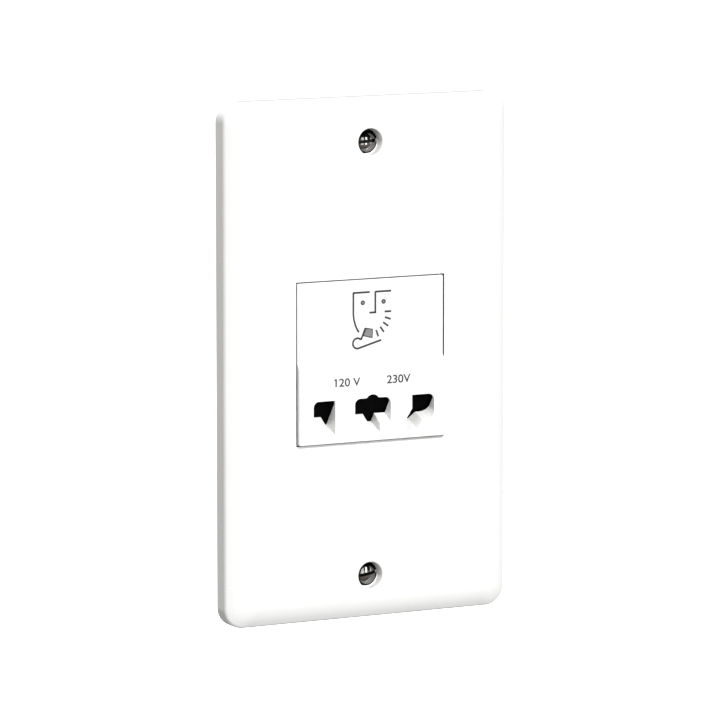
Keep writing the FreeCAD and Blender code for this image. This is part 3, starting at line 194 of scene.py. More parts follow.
def make_patches():
    """Soft patches of two close colours."""
    inputs = [
        ("Place", "NodeSocketVector", None),
        ("Scale", "NodeSocketFloat", 200.0),
        ("First Colour", "NodeSocketColor", None),
        ("Second Colour", "NodeSocketColor", None),
    ]
    group, source, result = new_group("soft_patches", inputs, [("Colour", "NodeSocketColor")])
    noise = group.nodes.new("ShaderNodeTexNoise")
    noise.inputs["Detail"].default_value = PATCH_DETAIL
    mix = group.nodes.new("ShaderNodeMix")
    mix.data_type = "RGBA"
    group.links.new(source.outputs["Place"], noise.inputs["Vector"])
    group.links.new(source.outputs["Scale"], noise.inputs["Scale"])
    group.links.new(noise.outputs["Fac"], mix.inputs[MIX_SHARE])
    group.links.new(source.outputs["First Colour"], mix.inputs[MIX_FIRST])
    group.links.new(source.outputs["Second Colour"], mix.inputs[MIX_SECOND])
    group.links.new(mix.outputs[MIX_RESULT], result.inputs["Colour"])
    return group


PATCHES = make_patches()
print("node group:", PATCHES.name)

# %% [markdown]
# ## Fine grain
# The marks of a mould or a tool are too small to model. A finer noise spreads the roughness between
# two limits, and the same noise gives the height for a bump.

# %% Fine grain
GRAIN_DETAIL = 4.0


def make_grain():
    """A fine grain that gives a roughness between two limits and a height for bump."""
    inputs = [
        ("Place", "NodeSocketVector", None),
        ("Scale", "NodeSocketFloat", 2000.0),
        ("Low", "NodeSocketFloat", 0.3),
        ("High", "NodeSocketFloat", 0.4),
    ]
    outputs = [("Roughness", "NodeSocketFloat"), ("Height", "NodeSocketFloat")]
    group, source, result = new_group("fine_grain", inputs, outputs)
    noise = group.nodes.new("ShaderNodeTexNoise")
    noise.inputs["Detail"].default_value = GRAIN_DETAIL
    spread = group.nodes.new("ShaderNodeMapRange")
    group.links.new(source.outputs["Place"], noise.inputs["Vector"])
    group.links.new(source.outputs["Scale"], noise.inputs["Scale"])
    group.links.new(noise.outputs["Fac"], spread.inputs["Value"])
    group.links.new(source.outputs["Low"], spread.inputs["To Min"])
    group.links.new(source.outputs["High"], spread.inputs["To Max"])
    group.links.new(spread.outputs["Result"], result.inputs["Roughness"])
    group.links.new(noise.outputs["Fac"], result.inputs["Height"])
    return group


GRAIN = make_grain()
print("node group:", GRAIN.name)

# %% [markdown]
# ## A finish from the two groups
# One function builds any of the finishes: a pair of colours, a range of roughness, the grain's
# scale and its depth in millimetres, and the constants that belong on the shader itself.

# %% Finish builder
PATCH_SCALE = 120.0
BUMP_STRENGTH = 0.35


def shader_of(material):
    return material.node_tree.nodes["Principled BSDF"]


def finish(name, colours, roughness, grain_scale, grain_depth, stretch=(1, 1, 1), **constants):
    """Make a material from the patches, the grain and plain values for the shader's own sockets."""
    material = bpy.data.materials.new(name)
    material.use_nodes = True
    tree = material.node_tree
    shader = shader_of(material)
    place = tree.nodes.new("ShaderNodeTexCoord")
    mapping = tree.nodes.new("ShaderNodeMapping")
    mapping.inputs["Scale"].default_value = stretch
    tree.links.new(place.outputs["Object"], mapping.inputs["Vector"])
    patches = tree.nodes.new("ShaderNodeGroup")
    patches.node_tree = PATCHES
    patches.inputs["Scale"].default_value = PATCH_SCALE
    patches.inputs["First Colour"].default_value = (*colours[0], 1)
    patches.inputs["Second Colour"].default_value = (*colours[1], 1)
    grain = tree.nodes.new("ShaderNodeGroup")
    grain.node_tree = GRAIN
    grain.inputs["Scale"].default_value = grain_scale
    grain.inputs["Low"].default_value = roughness[0]
    grain.inputs["High"].default_value = roughness[1]
    bump = tree.nodes.new("ShaderNodeBump")
    bump.inputs["Strength"].default_value = BUMP_STRENGTH
    bump.inputs["Distance"].default_value = grain_depth * MM
    for group in (patches, grain):
        tree.links.new(mapping.outputs["Vector"], group.inputs["Place"])
    tree.links.new(patches.outputs["Colour"], shader.inputs["Base Color"])
    tree.links.new(grain.outputs["Roughness"], shader.inputs["Roughness"])
    tree.links.new(grain.outputs["Height"], bump.inputs["Height"])
    tree.links.new(bump.outputs["Normal"], shader.inputs["Normal"])
    for socket, value in constants.items():
        shader.inputs[socket.replace("_", " ")].default_value = value
    return material


def dress(material, *names):
    """Give a finish to pieces of the solid model."""
    for name in names:
        nodes[name].data.materials.clear()
        nodes[name].data.materials.append(material)


print("finish builder ready")

# %% [markdown]
# ## Painted shade
# Some places on a piece are painted darker than the rest, as shade falls there, such as a slot's floor. A
# mask worked out from the place on the piece mixes its colour towards a dark tone there.


# %% Masks
def math_node(tree, operation, *values):
    """One step of arithmetic on numbers and on other nodes' results."""
    node = tree.nodes.new("ShaderNodeMath")
    node.operation = operation
    for socket, value in zip(node.inputs, values):
        if isinstance(value, float):
            socket.default_value = value
        else:
            tree.links.new(value, socket)
    return node.outputs[0]


def axes(tree):
    """The three distances of a place from the part's origin."""
    place = tree.nodes.new("ShaderNodeTexCoord")
    parts = tree.nodes.new("ShaderNodeSeparateXYZ")
    tree.links.new(place.outputs["Object"], parts.inputs["Vector"])
    return parts.outputs


def paint_shade(material, mask, tone):
    """Paint shade: mix a finish towards a dark grey where the mask is one."""
    tree = material.node_tree
    colour = shader_of(material).inputs["Base Color"]
    mix = tree.nodes.new("ShaderNodeMix")
    mix.data_type = "RGBA"
    mix.inputs[MIX_SECOND].default_value = (tone, tone, tone, 1)
    tree.links.new(mask, mix.inputs[MIX_SHARE])
    tree.links.new(colour.links[0].from_socket, mix.inputs[MIX_FIRST])
    tree.links.new(mix.outputs[MIX_RESULT], colour)


print("masks ready")

# %% [markdown]
# ## Mouldings that show
# The plate and the insert are gloss urea mouldings: a hard white with a very slight clouding and
# a polished skin. The shutter behind them is matt black, so that the closed apertures look dark.

# %% Front mouldings
white_gloss = finish(
    "white_gloss_moulding",
    colours=[(0.84, 0.84, 0.83), (0.87, 0.87, 0.86)],
    roughness=(0.22, 0.3),
    grain_scale=900.0,
    grain_depth=0.002,
    Coat_Weight=0.35,
    Coat_Roughness=0.08,
)
shutter_black = finish(
    "matt_black_shutter",
    colours=[(0.0015, 0.0015, 0.0016), (0.003, 0.003, 0.003)],
    roughness=(0.85, 0.95),
    grain_scale=2400.0,
    grain_depth=0.01,
    Specular_IOR_Level=0.03,
)
dress(white_gloss, "front_plate", "socket_insert")
dress(shutter_black, "shutter")
print("front mouldings dressed")

# %% [markdown]
# ## Mouldings behind the plate
# The covers and blocks behind the plate are satin nylon, which shows a spark-eroded grain. The
# leads are sleeved in brown.

# %% Rear mouldings
black_satin = finish(
    "black_satin_moulding",
    colours=[(0.012, 0.012, 0.013), (0.02, 0.02, 0.021)],
    roughness=(0.5, 0.62),
    grain_scale=2400.0,
    grain_depth=0.01,
)
grey_satin = finish(
    "grey_satin_moulding",
    colours=[(0.36, 0.37, 0.38), (0.4, 0.41, 0.42)],
    roughness=(0.42, 0.58),
    grain_scale=2600.0,
    grain_depth=0.015,
)
nylon = finish(
    "natural_nylon_moulding",
    colours=[(0.62, 0.59, 0.5), (0.68, 0.65, 0.57)],
    roughness=(0.38, 0.5),
    grain_scale=1800.0,
    grain_depth=0.01,
)
red_button = finish(
    "red_button_moulding",
    colours=[(0.36, 0.02, 0.015), (0.42, 0.03, 0.02)],
    roughness=(0.35, 0.45),
    grain_scale=1800.0,
    grain_depth=0.005,
)
sleeve = finish(
    "lead_sleeve",
    colours=[(0.2, 0.075, 0.035), (0.26, 0.1, 0.05)],
    roughness=(0.4, 0.5),
    grain_scale=2200.0,
    grain_depth=0.006,
)
dress(black_satin, "microswitch_body", "thermal_cutout")
dress(grey_satin, "rear_housing", "contact_carrier")
dress(nylon, "terminal_block", "transformer_bobbin")
dress(red_button, "microswitch_plunger")
dress(sleeve, "primary_leads", "secondary_leads")
print("rear mouldings and leads dressed")

# %% [markdown]
# ## The gap round the insert
# The insert drops into the plate's window with a third of a millimetre to spare. The walls of so narrow a
# gap are given painted shade, a dark grey. The mask is a frame of the gap's width round the insert, between
# two depths behind the plate's front.

# %% Painted shade on the walls in the gap
INSERT_HALF = (22.6 * MM, 22.4 * MM)
INSERT_GAP = 0.35 * MM
GAP_FRONT = 0.25 * MM
GAP_BACK = 2.6 * MM
# The grey of the gap's walls is painted shade.
GAP_SHADE_TONE = 0.18
WALL_REACH = INSERT_GAP * 0.6
CORNER_REACH = INSERT_GAP * 1.1


def paint_gap_shade(material):
    """Paint shade, a dark grey, on the walls on both sides of the gap."""
    tree = material.node_tree
    x, y, z = axes(tree)
    walls = []
    limits = []
    for way, half in zip((x, z), INSERT_HALF):
        reach = math_node(tree, "ABSOLUTE", way)
        walls.append(math_node(tree, "COMPARE", reach, half + INSERT_GAP / 2, WALL_REACH))
        limits.append(math_node(tree, "LESS_THAN", reach, half + CORNER_REACH))
    beside = math_node(tree, "MULTIPLY", walls[0], limits[1])
    above = math_node(tree, "MULTIPLY", walls[1], limits[0])
    around = math_node(tree, "MAXIMUM", beside, above)
    middle = FACE_Y + (GAP_FRONT + GAP_BACK) / 2
    deep = math_node(tree, "COMPARE", y, middle, (GAP_BACK - GAP_FRONT) / 2)
    paint_shade(material, math_node(tree, "MULTIPLY", around, deep), GAP_SHADE_TONE)


paint_gap_shade(white_gloss)
print("gap walls shaded")

# %% [markdown]
# ## Contacts and terminals
# Strip metal is rolled along its length and pillars are turned, so their grain is stretched by a
# Mapping node. Tinned tags are dull and even.

# %% Strip and turned metal
bronze = finish(
    "bronze_strip",
    colours=[(0.5, 0.3, 0.13), (0.58, 0.36, 0.17)],
    roughness=(0.22, 0.4),
    grain_scale=900.0,
    grain_depth=0.006,
    stretch=(1, 6, 6),
    Metallic=1.0,
)
brass = finish(
    "turned_brass",
    colours=[(0.6, 0.42, 0.16), (0.68, 0.5, 0.22)],
    roughness=(0.2, 0.36),
    grain_scale=1400.0,
    grain_depth=0.006,
    stretch=(8, 8, 1),
    Metallic=1.0,
)
tinned = finish(
    "tinned_brass",
    colours=[(0.55, 0.53, 0.48), (0.62, 0.6, 0.56)],
    roughness=(0.25, 0.4),
    grain_scale=1400.0,
    grain_depth=0.004,
    Metallic=1.0,
)
dress(bronze, "contact_120v", "contact_common", "contact_230v")
dress(brass, "terminal_pillars")
dress(tinned, "switch_terminals")
print("contacts and terminals dressed")

# %% [markdown]
# ## Screws and spring wire
# Screws are plated after they are made. Those that hold the plate are in bright nickel, smooth enough
# to mirror the studio, and those behind are in duller zinc. The spring is hard drawn wire.

# %% Plated metal and wire
zinc = finish(
    "zinc_plate",
    colours=[(0.5, 0.51, 0.53), (0.6, 0.61, 0.62)],
    roughness=(0.25, 0.42),
    grain_scale=1600.0,
    grain_depth=0.006,
    Metallic=1.0,
)
# This finish also carries painted shade at the heads' rims and slots, added further down.
nickel = finish(
    "nickel_with_painted_shade",
    colours=[(0.24, 0.235, 0.23), (0.29, 0.285, 0.28)],
    roughness=(0.05, 0.09),
    grain_scale=1500.0,
    grain_depth=0.001,
    Metallic=1.0,
)
spring_wire = finish(
    "spring_wire",
    colours=[(0.3, 0.3, 0.31), (0.4, 0.4, 0.41)],
    roughness=(0.25, 0.35),
    grain_scale=2000.0,
    grain_depth=0.004,
    Metallic=1.0,
)
dress(zinc, "assembly_screws", "core_screws", "terminal_screws")
dress(nickel, "fixing_screws")
dress(spring_wire, "shutter_spring")
print("screws and spring dressed")

# %% [markdown]
# ## The transformer
# The core is a stack of varnished sheets, whose edges show as fine lines across it. The windings are
# enamelled wire laid side by side. Both get their lines from a grain that is stretched a long way.

# %% Core and windings
laminations = finish(
    "varnished_laminations",
    colours=[(0.05, 0.052, 0.055), (0.1, 0.1, 0.1)],
    roughness=(0.3, 0.5),
    grain_scale=260.0,
    grain_depth=0.12,
    stretch=(0.02, 8, 0.02),
    Metallic=0.6,
)
copper = finish(
    "enamelled_copper",
    colours=[(0.3, 0.1, 0.035), (0.46, 0.17, 0.06)],
    roughness=(0.18, 0.34),
    grain_scale=420.0,
    grain_depth=0.15,
    stretch=(5, 0.05, 0.05),
    Metallic=0.9,
)
dress(laminations, "transformer_core")
dress(copper, "primary_winding", "secondary_winding")
print("core and windings dressed")

# %% [markdown]
# ## Print on the insert
# The marks are pad-printed ink, a few hundredths of a millimetre thick. A stroke is a chain of
# points, drawn out from one vertex, raised into a ribbon and given its width by Solidify, which
# mitres the corners as a pen would. A blot is the same chain, filled. All places are in millimetres
# across and up the face.

# %% Stroke maker
INK_DEPTH = 0.03 * MM
INK_SINK = 0.01 * MM


def ink_line(points, level):
    """A wire in front of the face, in edit mode with all of it selected."""
    piece = chain([Vector((x * MM, level - INK_DEPTH, z * MM)) for x, z in points])
    bpy.ops.mesh.select_all(action="SELECT")
    return piece


def sink_ink():
    """Extrude what is selected backwards into the face."""
    bpy.ops.mesh.extrude_region_move(TRANSFORM_OT_translate={"value": (0, INK_DEPTH + INK_SINK, 0)})


def stroke(points, width, level):
    """One printed line through the points."""
    piece = ink_line(points, level)
    sink_ink()
    bpy.ops.object.mode_set(mode="OBJECT")
    apply_modifier(piece, "SOLIDIFY", thickness=width * MM, offset=0.0, use_even_offset=True)
    return piece


def blot(points, level):
    """One filled printed shape inside the points."""
    piece = ink_line(points, level)
    bpy.ops.mesh.edge_face_add()
    sink_ink()
    bpy.ops.mesh.select_all(action="SELECT")
    bpy.ops.mesh.normals_make_consistent(inside=False)
    bpy.ops.object.mode_set(mode="OBJECT")
    return piece


print("stroke maker ready")

# %% [markdown]
# ## Curves in the print
# A printed curve is a chain of short straight steps. At this size sixteen of them look round.

# %% Arcs and rings
ARC_STEPS = 16


def arc(middle, radius, start, end, steps=ARC_STEPS):
    """Points along an arc, in degrees anticlockwise from +X."""
    turns = [math.radians(start + (end - start) * step / steps) for step in range(steps + 1)]
    return [(middle[0] + radius * math.cos(turn), middle[1] + radius * math.sin(turn)) for turn in turns]


def ring(middle, radius):
    """Points round a whole circle, each place once."""
    return arc(middle, radius, 0, 360 - 360 / ARC_STEPS, ARC_STEPS - 1)


print("a ring has", len(ring((0, 0), 1)), "points")

# %% [markdown]
# ## The shaver pictogram
# The insert carries the common sign for a shaver supply: half a face with stubble and a shaver
# held to its chin. The dark strokes are joined into one printed piece, and the paler marks, which
# are the eyes' centres and the shaver's head, into another.

# %% Draw the pictogram
PEN = 0.58
FINE_PEN = 0.3
EYE_RADIUS = 0.7
EYE_CENTRE_RADIUS = 0.3
jaw = [(-5.36, 18.9), (-5.36, 12.86), (-5.2, 11.5), (-4.75, 9.9), (-4.2, 8.7), (-3.64, 7.86)]
face_strokes = [
    [(-5.54, 18.86), (-0.29, 18.86)],
    jaw,
    [(1.43, 18.86), (6.36, 18.86)],
    [(1.43, 19.0), (1.43, 13.04)],
    [(-0.43, 13.14), (1.71, 13.14)],
    [(4.29, 13.18), (6.36, 13.18)],
    [(4.36, 11.64), (6.21, 11.0)],
    [(3.82, 10.25), (5.46, 9.11)],
    [(2.93, 9.07), (4.11, 7.5)],
    [(1.68, 8.21), (2.36, 6.36)],
    [(-1.6, 8.93), (-3.04, 5.71)],
    arc((-4.1, 4.82), 1.43, 42, 290) + [(3.29, 5.36)],
]
head_corners = [(-1.6, 8.93), (0.57, 8.46), (0.43, 6.14), (-2.32, 6.86)]
eyes = [(-2.46, 16.0), (4.0, 16.0)]
marks = [stroke(points, PEN, FACE_Y) for points in face_strokes]
marks.append(stroke(head_corners + head_corners[:1], FINE_PEN, FACE_Y))
marks += [blot(ring(spot, EYE_RADIUS), FACE_Y) for spot in eyes]
pictogram = join(marks, "shaver_pictogram")
pale_marks = [blot(ring(spot, EYE_CENTRE_RADIUS), FACE_Y - INK_SINK) for spot in eyes]
pale_marks.append(blot(head_corners, FACE_Y + INK_SINK / 2))
pale_pictogram = join(pale_marks, "pale_pictogram_marks")
print("pictogram strokes:", len(marks))

# %% [markdown]
# ## Voltage lettering
# Plain numbers over the outer apertures. Text starts as a font curve; it becomes a mesh before it
# is fitted to its measured width and height, so that its place ends up in the mesh. A short stroke
# gives the one its flag.

# %% Letters
LETTER_SPANS = {"120 V": (-11.62, -3.9), "230V": (4.3, 11.7)}
LETTER_LOW, LETTER_HIGH = -6.75, -4.4
FLAG_OF_ONE = [(-12.0, -4.95), (-11.47, -4.53)]
TEXT_EXTRUDE = 0.5
TEXT_WEIGHT = 0.018


def lettering(words, left, right):
    """Words between two places across the raised half, as ink."""
    bpy.ops.object.select_all(action="DESELECT")
    bpy.ops.object.text_add(location=(0, 0, 0))
    piece = bpy.context.object
    piece.data.body = words
    piece.data.extrude = TEXT_EXTRUDE
    piece.data.offset = TEXT_WEIGHT
    bpy.ops.object.convert(target="MESH")
    corners = [Vector(corner) for corner in piece.bound_box]
    lows = [min(corner[axis] for corner in corners) for axis in range(3)]
    highs = [max(corner[axis] for corner in corners) for axis in range(3)]
    spans = [highs[axis] - lows[axis] for axis in range(3)]
    across = (right - left) * MM / spans[0]
    up = (LETTER_HIGH - LETTER_LOW) * MM / spans[1]
    deep = (INK_DEPTH + INK_SINK) / spans[2]
    stand = Matrix(((across, 0, 0, 0), (0, 0, -deep, 0), (0, up, 0, 0), (0, 0, 0, 1)))
    shift = Vector(
        (
            left * MM - lows[0] * across,
            RAISED_Y - INK_DEPTH + highs[2] * deep,
            LETTER_LOW * MM - lows[1] * up,
        )
    )
    piece.matrix_world = Matrix.Translation(shift) @ stand
    settle(piece)
    return piece


letters = [lettering(words, *span) for words, span in LETTER_SPANS.items()]
letters.append(stroke(FLAG_OF_ONE, FINE_PEN, RAISED_Y))
voltage_marks = join(letters, "voltage_marks")
print("lettering pieces:", len(letters))

# %% [markdown]
# ## Ink
# The sign is printed in a near black and a mid grey. The print belongs to the socket's own body, so
# it rides on that.

# %% Ink the print
ink = finish(
    "printed_ink",
    colours=[(0.035, 0.035, 0.037), (0.05, 0.05, 0.053)],
    roughness=(0.45, 0.6),
    grain_scale=3000.0,
    grain_depth=0.002,
)
pale_ink = finish(
    "pale_printed_ink",
    colours=[(0.2, 0.2, 0.21), (0.23, 0.23, 0.24)],
    roughness=(0.45, 0.6),
    grain_scale=3000.0,
    grain_depth=0.002,
)
inked_pieces = ((pictogram, ink), (voltage_marks, ink), (pale_pictogram, pale_ink))
for piece, material in inked_pieces:
    piece.data.materials.append(material)
    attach(piece, BODY)
print("inked pieces:", len(inked_pieces))

# %% [markdown]
# ## Fixing screws
# The two screws that hold the plate are turned from bar, slotted, rolled between dies for their
# thread, and plated. Their heads repeat those of the solid model, and their ends are read from it.

# %% Screw sizes
SCREW_LOW, SCREW_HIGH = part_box("fixing_screws")
HEAD_RADIUS = 3.4 * MM
HEAD_DOME = 0.7 * MM
HEAD_LAND = 0.12 * MM
NECK_RADIUS = 1.55 * MM
ROOT_RADIUS = 1.4 * MM
THREAD_START = 1.0 * MM
SLOT_WIDTH = 0.9 * MM
SLOT_DEPTH = 1.0 * MM
SCREW_Z = SCREW_HIGH[2] - HEAD_RADIUS
CROWN_Y = SCREW_LOW[1]
RIM_Y = CROWN_Y + HEAD_DOME
TIP_Y = SCREW_HIGH[1]
print("screw axes at", round(SCREW_Z / MM, 2), "mm above and below the middle")

# %% [markdown]
# ## Turning the blank
# On a lathe a screw starts as a turned blank, and a saw cuts its slot. Here a half profile is spun
# round the axis, and a Boolean cuts the slot with a box.

# %% Turn the blank and cut its slot
DOME_STEPS = 9
SPIN_STEPS = 48


def screw_blank():
    """The screw without its thread, along Y at the middle."""
    dome = []
    for step in range(DOME_STEPS + 1):
        share = step / DOME_STEPS
        dome.append((HEAD_RADIUS * share, CROWN_Y + HEAD_DOME * share**2))
    under_head = RIM_Y + HEAD_LAND + HEAD_RADIUS - NECK_RADIUS
    shank = [
        (HEAD_RADIUS, RIM_Y + HEAD_LAND),
        (NECK_RADIUS, under_head),
        (NECK_RADIUS, 0.0),
        (ROOT_RADIUS, THREAD_START),
        (ROOT_RADIUS, TIP_Y - ROOT_RADIUS),
        (ROOT_RADIUS / 2, TIP_Y),
        (0.0, TIP_Y),
    ]
    blank = chain([Vector((radius, level, 0)) for radius, level in dome + shank])
    bpy.ops.mesh.select_all(action="SELECT")
    bpy.ops.mesh.spin(steps=SPIN_STEPS, angle=math.tau, center=(0, 0, 0), axis=(0, 1, 0))
    bpy.ops.object.mode_set(mode="OBJECT")
    close_shell(blank)
    bpy.ops.object.select_all(action="DESELECT")
    bpy.ops.mesh.primitive_cube_add(size=1.0, location=(0, CROWN_Y, 0))
    cutter = bpy.context.object
    cutter.scale = (HEAD_RADIUS * 3, SLOT_DEPTH * 2, SLOT_WIDTH)
    settle(cutter)
    apply_modifier(blank, "BOOLEAN", object=cutter, operation="DIFFERENCE", solver="EXACT")
    bpy.data.objects.remove(cutter)
    return blank


blank = screw_blank()
print("the blank has", len(blank.data.polygons), "faces")

# %% [markdown]
# ## Rolling the thread
# Rolling presses a ridge out of the shank. Here it is one triangle carried along a helix by the Screw
# modifier, which is lighter than cutting the groove. Its foot lies a little inside the core, so that
# no gap shows between them.

# %% Roll the thread
THREAD_RADIUS = 1.75 * MM
THREAD_FOOT = ROOT_RADIUS * 0.98
THREAD_PITCH = 0.6 * MM
THREAD_STEPS = 24


def screw_thread():
    """The ridge of the thread, round the same axis."""
    half = THREAD_PITCH / 2
    corners = [(THREAD_FOOT, -half), (THREAD_RADIUS, 0.0), (THREAD_FOOT, half)]
    outline = corners + corners[:1]
    ridge = chain([Vector((radius, THREAD_START + level, 0)) for radius, level in outline])
    bpy.ops.mesh.select_all(action="SELECT")
    bpy.ops.mesh.remove_doubles(threshold=MERGE_REACH)
    bpy.ops.object.mode_set(mode="OBJECT")
    turns = int((TIP_Y - ROOT_RADIUS - THREAD_START) / THREAD_PITCH) - 1
    apply_modifier(
        ridge,
        "SCREW",
        axis="Y",
        angle=math.tau,
        screw_offset=THREAD_PITCH,
        iterations=turns,
        steps=THREAD_STEPS,
        render_steps=THREAD_STEPS,
        use_merge_vertices=False,
    )
    close_shell(ridge)
    return ridge


one_screw = join([blank, screw_thread()], "one_fixing_screw")
print("one screw has", len(one_screw.data.polygons), "faces")

# %% [markdown]
# ## Screw finish
# Bright plating mirrors the studio. The shade and the dark reflections down in its recess are painted: the
# edge of each head is painted dark, more so at the top left, and so is the floor of its slot. The finish
# fades to near black by the distance from a point beside the screw's own axis, and at the depth of the
# slot's floor.

# %% Plating with a painted dark rim
BRIGHT_ACROSS = HEAD_RADIUS * 0.09
BRIGHT_DROP = HEAD_RADIUS * 0.12
BRIGHT_INNER = HEAD_RADIUS * 0.72
BRIGHT_OUTER = HEAD_RADIUS * 0.78
FLOOR_Y = CROWN_Y + SLOT_DEPTH
FLOOR_REACH = 0.2 * MM
# Near black for the painted shade and dark reflection at the heads' rims and in the slots.
RIM_SHADE_TONE = 0.004


def paint_rim_shade(material, middles):
    """Paint shade: fade a finish to near black away from the middles, and at the slot's floor."""
    tree = material.node_tree
    x, y, z = axes(tree)
    reaches = []
    for across, up in middles:
        side = math_node(tree, "SUBTRACT", x, across)
        rise = math_node(tree, "SUBTRACT", z, up)
        squares = [math_node(tree, "MULTIPLY", way, way) for way in (side, rise)]
        reaches.append(math_node(tree, "SQRT", math_node(tree, "ADD", *squares)))
    fade = tree.nodes.new("ShaderNodeMapRange")
    fade.inputs["From Min"].default_value = BRIGHT_INNER
    fade.inputs["From Max"].default_value = BRIGHT_OUTER
    tree.links.new(math_node(tree, "MINIMUM", *reaches), fade.inputs["Value"])
    in_slot = math_node(tree, "COMPARE", y, FLOOR_Y, FLOOR_REACH)
    paint_shade(material, math_node(tree, "MAXIMUM", fade.outputs["Result"], in_slot), RIM_SHADE_TONE)


bright_spots = [(BRIGHT_ACROSS, level - BRIGHT_DROP) for level in (SCREW_Z, -SCREW_Z)]
paint_rim_shade(nickel, bright_spots)
print("bright spots on the heads:", len(bright_spots))

# %% [markdown]
# ## Placing the screws
# The one screw is copied to both holes, each copy with its own mesh. A fitter leaves the slots near
# level, but never quite, so each copy is turned by a few degrees of its own.

# %% Two screws
SLOT_TURNS = {SCREW_Z: 4.0, -SCREW_Z: 9.0}
SCREW_CREASE = 32.0
screws = []
for level, turn in SLOT_TURNS.items():
    only(one_screw)
    bpy.ops.object.duplicate()
    screw = bpy.context.object
    turned = Matrix.Rotation(math.radians(-turn), 4, "Y")
    screw.matrix_world = Matrix.Translation((0, 0, level)) @ turned
    settle(screw)
    screws.append(screw)
bpy.data.objects.remove(one_screw)
slotted_screws = join(screws, "slotted_fixing_screws")
smooth(slotted_screws, SCREW_CREASE)
slotted_screws.data.materials.append(nickel)
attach(slotted_screws, BODY)
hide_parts("fixing_screws")
print("fixing screws:", len(screws))

# %% [markdown]
# ## Shutter spring
# A coil of hard wire pushes the shutter down. On the real one it is wound on a mandrel. Here a round
# section is carried up a helix, with the turns of the solid model.

# %% Wind the spring
SPRING_LOW, SPRING_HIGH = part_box("shutter_spring")
SPRING_TURNS = 6
COIL_STEPS = 28
COIL_CREASE = 50.0
WIRE_RADIUS = 0.175 * MM
WIRE_SIDES = 10
spring_height = SPRING_HIGH[2] - SPRING_LOW[2]
coil_radius = (SPRING_HIGH[0] - SPRING_LOW[0]) / 2 - WIRE_RADIUS
spring_y = (SPRING_LOW[1] + SPRING_HIGH[1]) / 2
bpy.ops.object.select_all(action="DESELECT")
bpy.ops.mesh.primitive_circle_add(
    vertices=WIRE_SIDES,
    radius=WIRE_RADIUS,
    location=(coil_radius, 0, SPRING_LOW[2] + WIRE_RADIUS),
    rotation=(math.pi / 2, 0, 0),
)
coil_spring = bpy.context.object
coil_spring.name = "coil_spring"
settle(coil_spring)
apply_modifier(
    coil_spring,
    "SCREW",
    axis="Z",
    angle=math.tau,
    screw_offset=(spring_height - WIRE_RADIUS * 2) / SPRING_TURNS,
    iterations=SPRING_TURNS,
    steps=COIL_STEPS,
    render_steps=COIL_STEPS,
    use_merge_vertices=False,
)
close_shell(coil_spring)
coil_spring.location.y = spring_y
settle(coil_spring)
smooth(coil_spring, COIL_CREASE)
coil_spring.data.materials.append(spring_wire)
print("the coil has", len(coil_spring.data.polygons), "faces")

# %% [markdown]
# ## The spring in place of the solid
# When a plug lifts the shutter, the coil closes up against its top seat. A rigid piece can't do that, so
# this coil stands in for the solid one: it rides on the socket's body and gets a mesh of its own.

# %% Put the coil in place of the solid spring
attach(coil_spring, BODY)
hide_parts("shutter_spring")
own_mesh(coil_spring)

# %% [markdown]
# ## Floor
# The product stands out against white, so the floor glows white to the camera. It neither lights nor
# shades the product and does not show in its gloss, so that the lamps alone shape it.

# %% White floor
FLOOR_SIZE = 30.0
FLOOR_LEVEL = -0.35
FLOOR_GLOW = 0.9
bpy.ops.object.select_all(action="DESELECT")
bpy.ops.mesh.primitive_plane_add(size=FLOOR_SIZE, location=(0, 0, FLOOR_LEVEL))
floor = bpy.context.object
floor.name = "studio_floor"
settle(floor)
pale_floor = finish(
    "pale_floor",
    colours=[(0.9, 0.9, 0.9), (0.92, 0.92, 0.92)],
    roughness=(0.8, 0.9),
    grain_scale=4.0,
    grain_depth=0.01,
    Emission_Color=(1, 1, 1, 1),
    Emission_Strength=FLOOR_GLOW,
)
floor.data.materials.append(pale_floor)
floor.visible_diffuse = False
floor.visible_glossy = False
floor.visible_shadow = False
print("floor at", FLOOR_LEVEL, "m")

# %% [markdown]
# ## Surroundings
# The world looks white to the camera too, but to light the plate it is nearly dark, so that the lamps
# keep their shadows. A mix by the kind of ray gives each its own background.

# %% World helpers
WHITE_STRENGTH = 1.0
SOFT_STRENGTH = 0.04
world = bpy.data.worlds.new("white_studio")
bpy.context.scene.world = world
world.use_nodes = True
sky = world.node_tree
rays = sky.nodes.new("ShaderNodeLightPath")


def background(strength):
    """A white background of the given strength."""
    node = sky.nodes.new("ShaderNodeBackground")
    node.inputs["Color"].default_value = (1, 1, 1, 1)
    node.inputs["Strength"].default_value = strength
    return node


def choose(ray, when_not, when_so):
    """Mix two backgrounds by the kind of ray."""
    mix = sky.nodes.new("ShaderNodeMixShader")
    sky.links.new(rays.outputs[ray], mix.inputs["Fac"])
    sky.links.new(when_not.outputs[0], mix.inputs[1])
    sky.links.new(when_so.outputs[0], mix.inputs[2])
    return mix


print("world helpers ready")

# %% [markdown]
# ## What bright metal mirrors
# Bright metal mirrors whatever is around it: in a real studio that is a dark ceiling and a grey-brown
# bench. A gradient that only mirrored rays see gives the screws that contrast, and leaves the soft
# light on the mouldings alone.

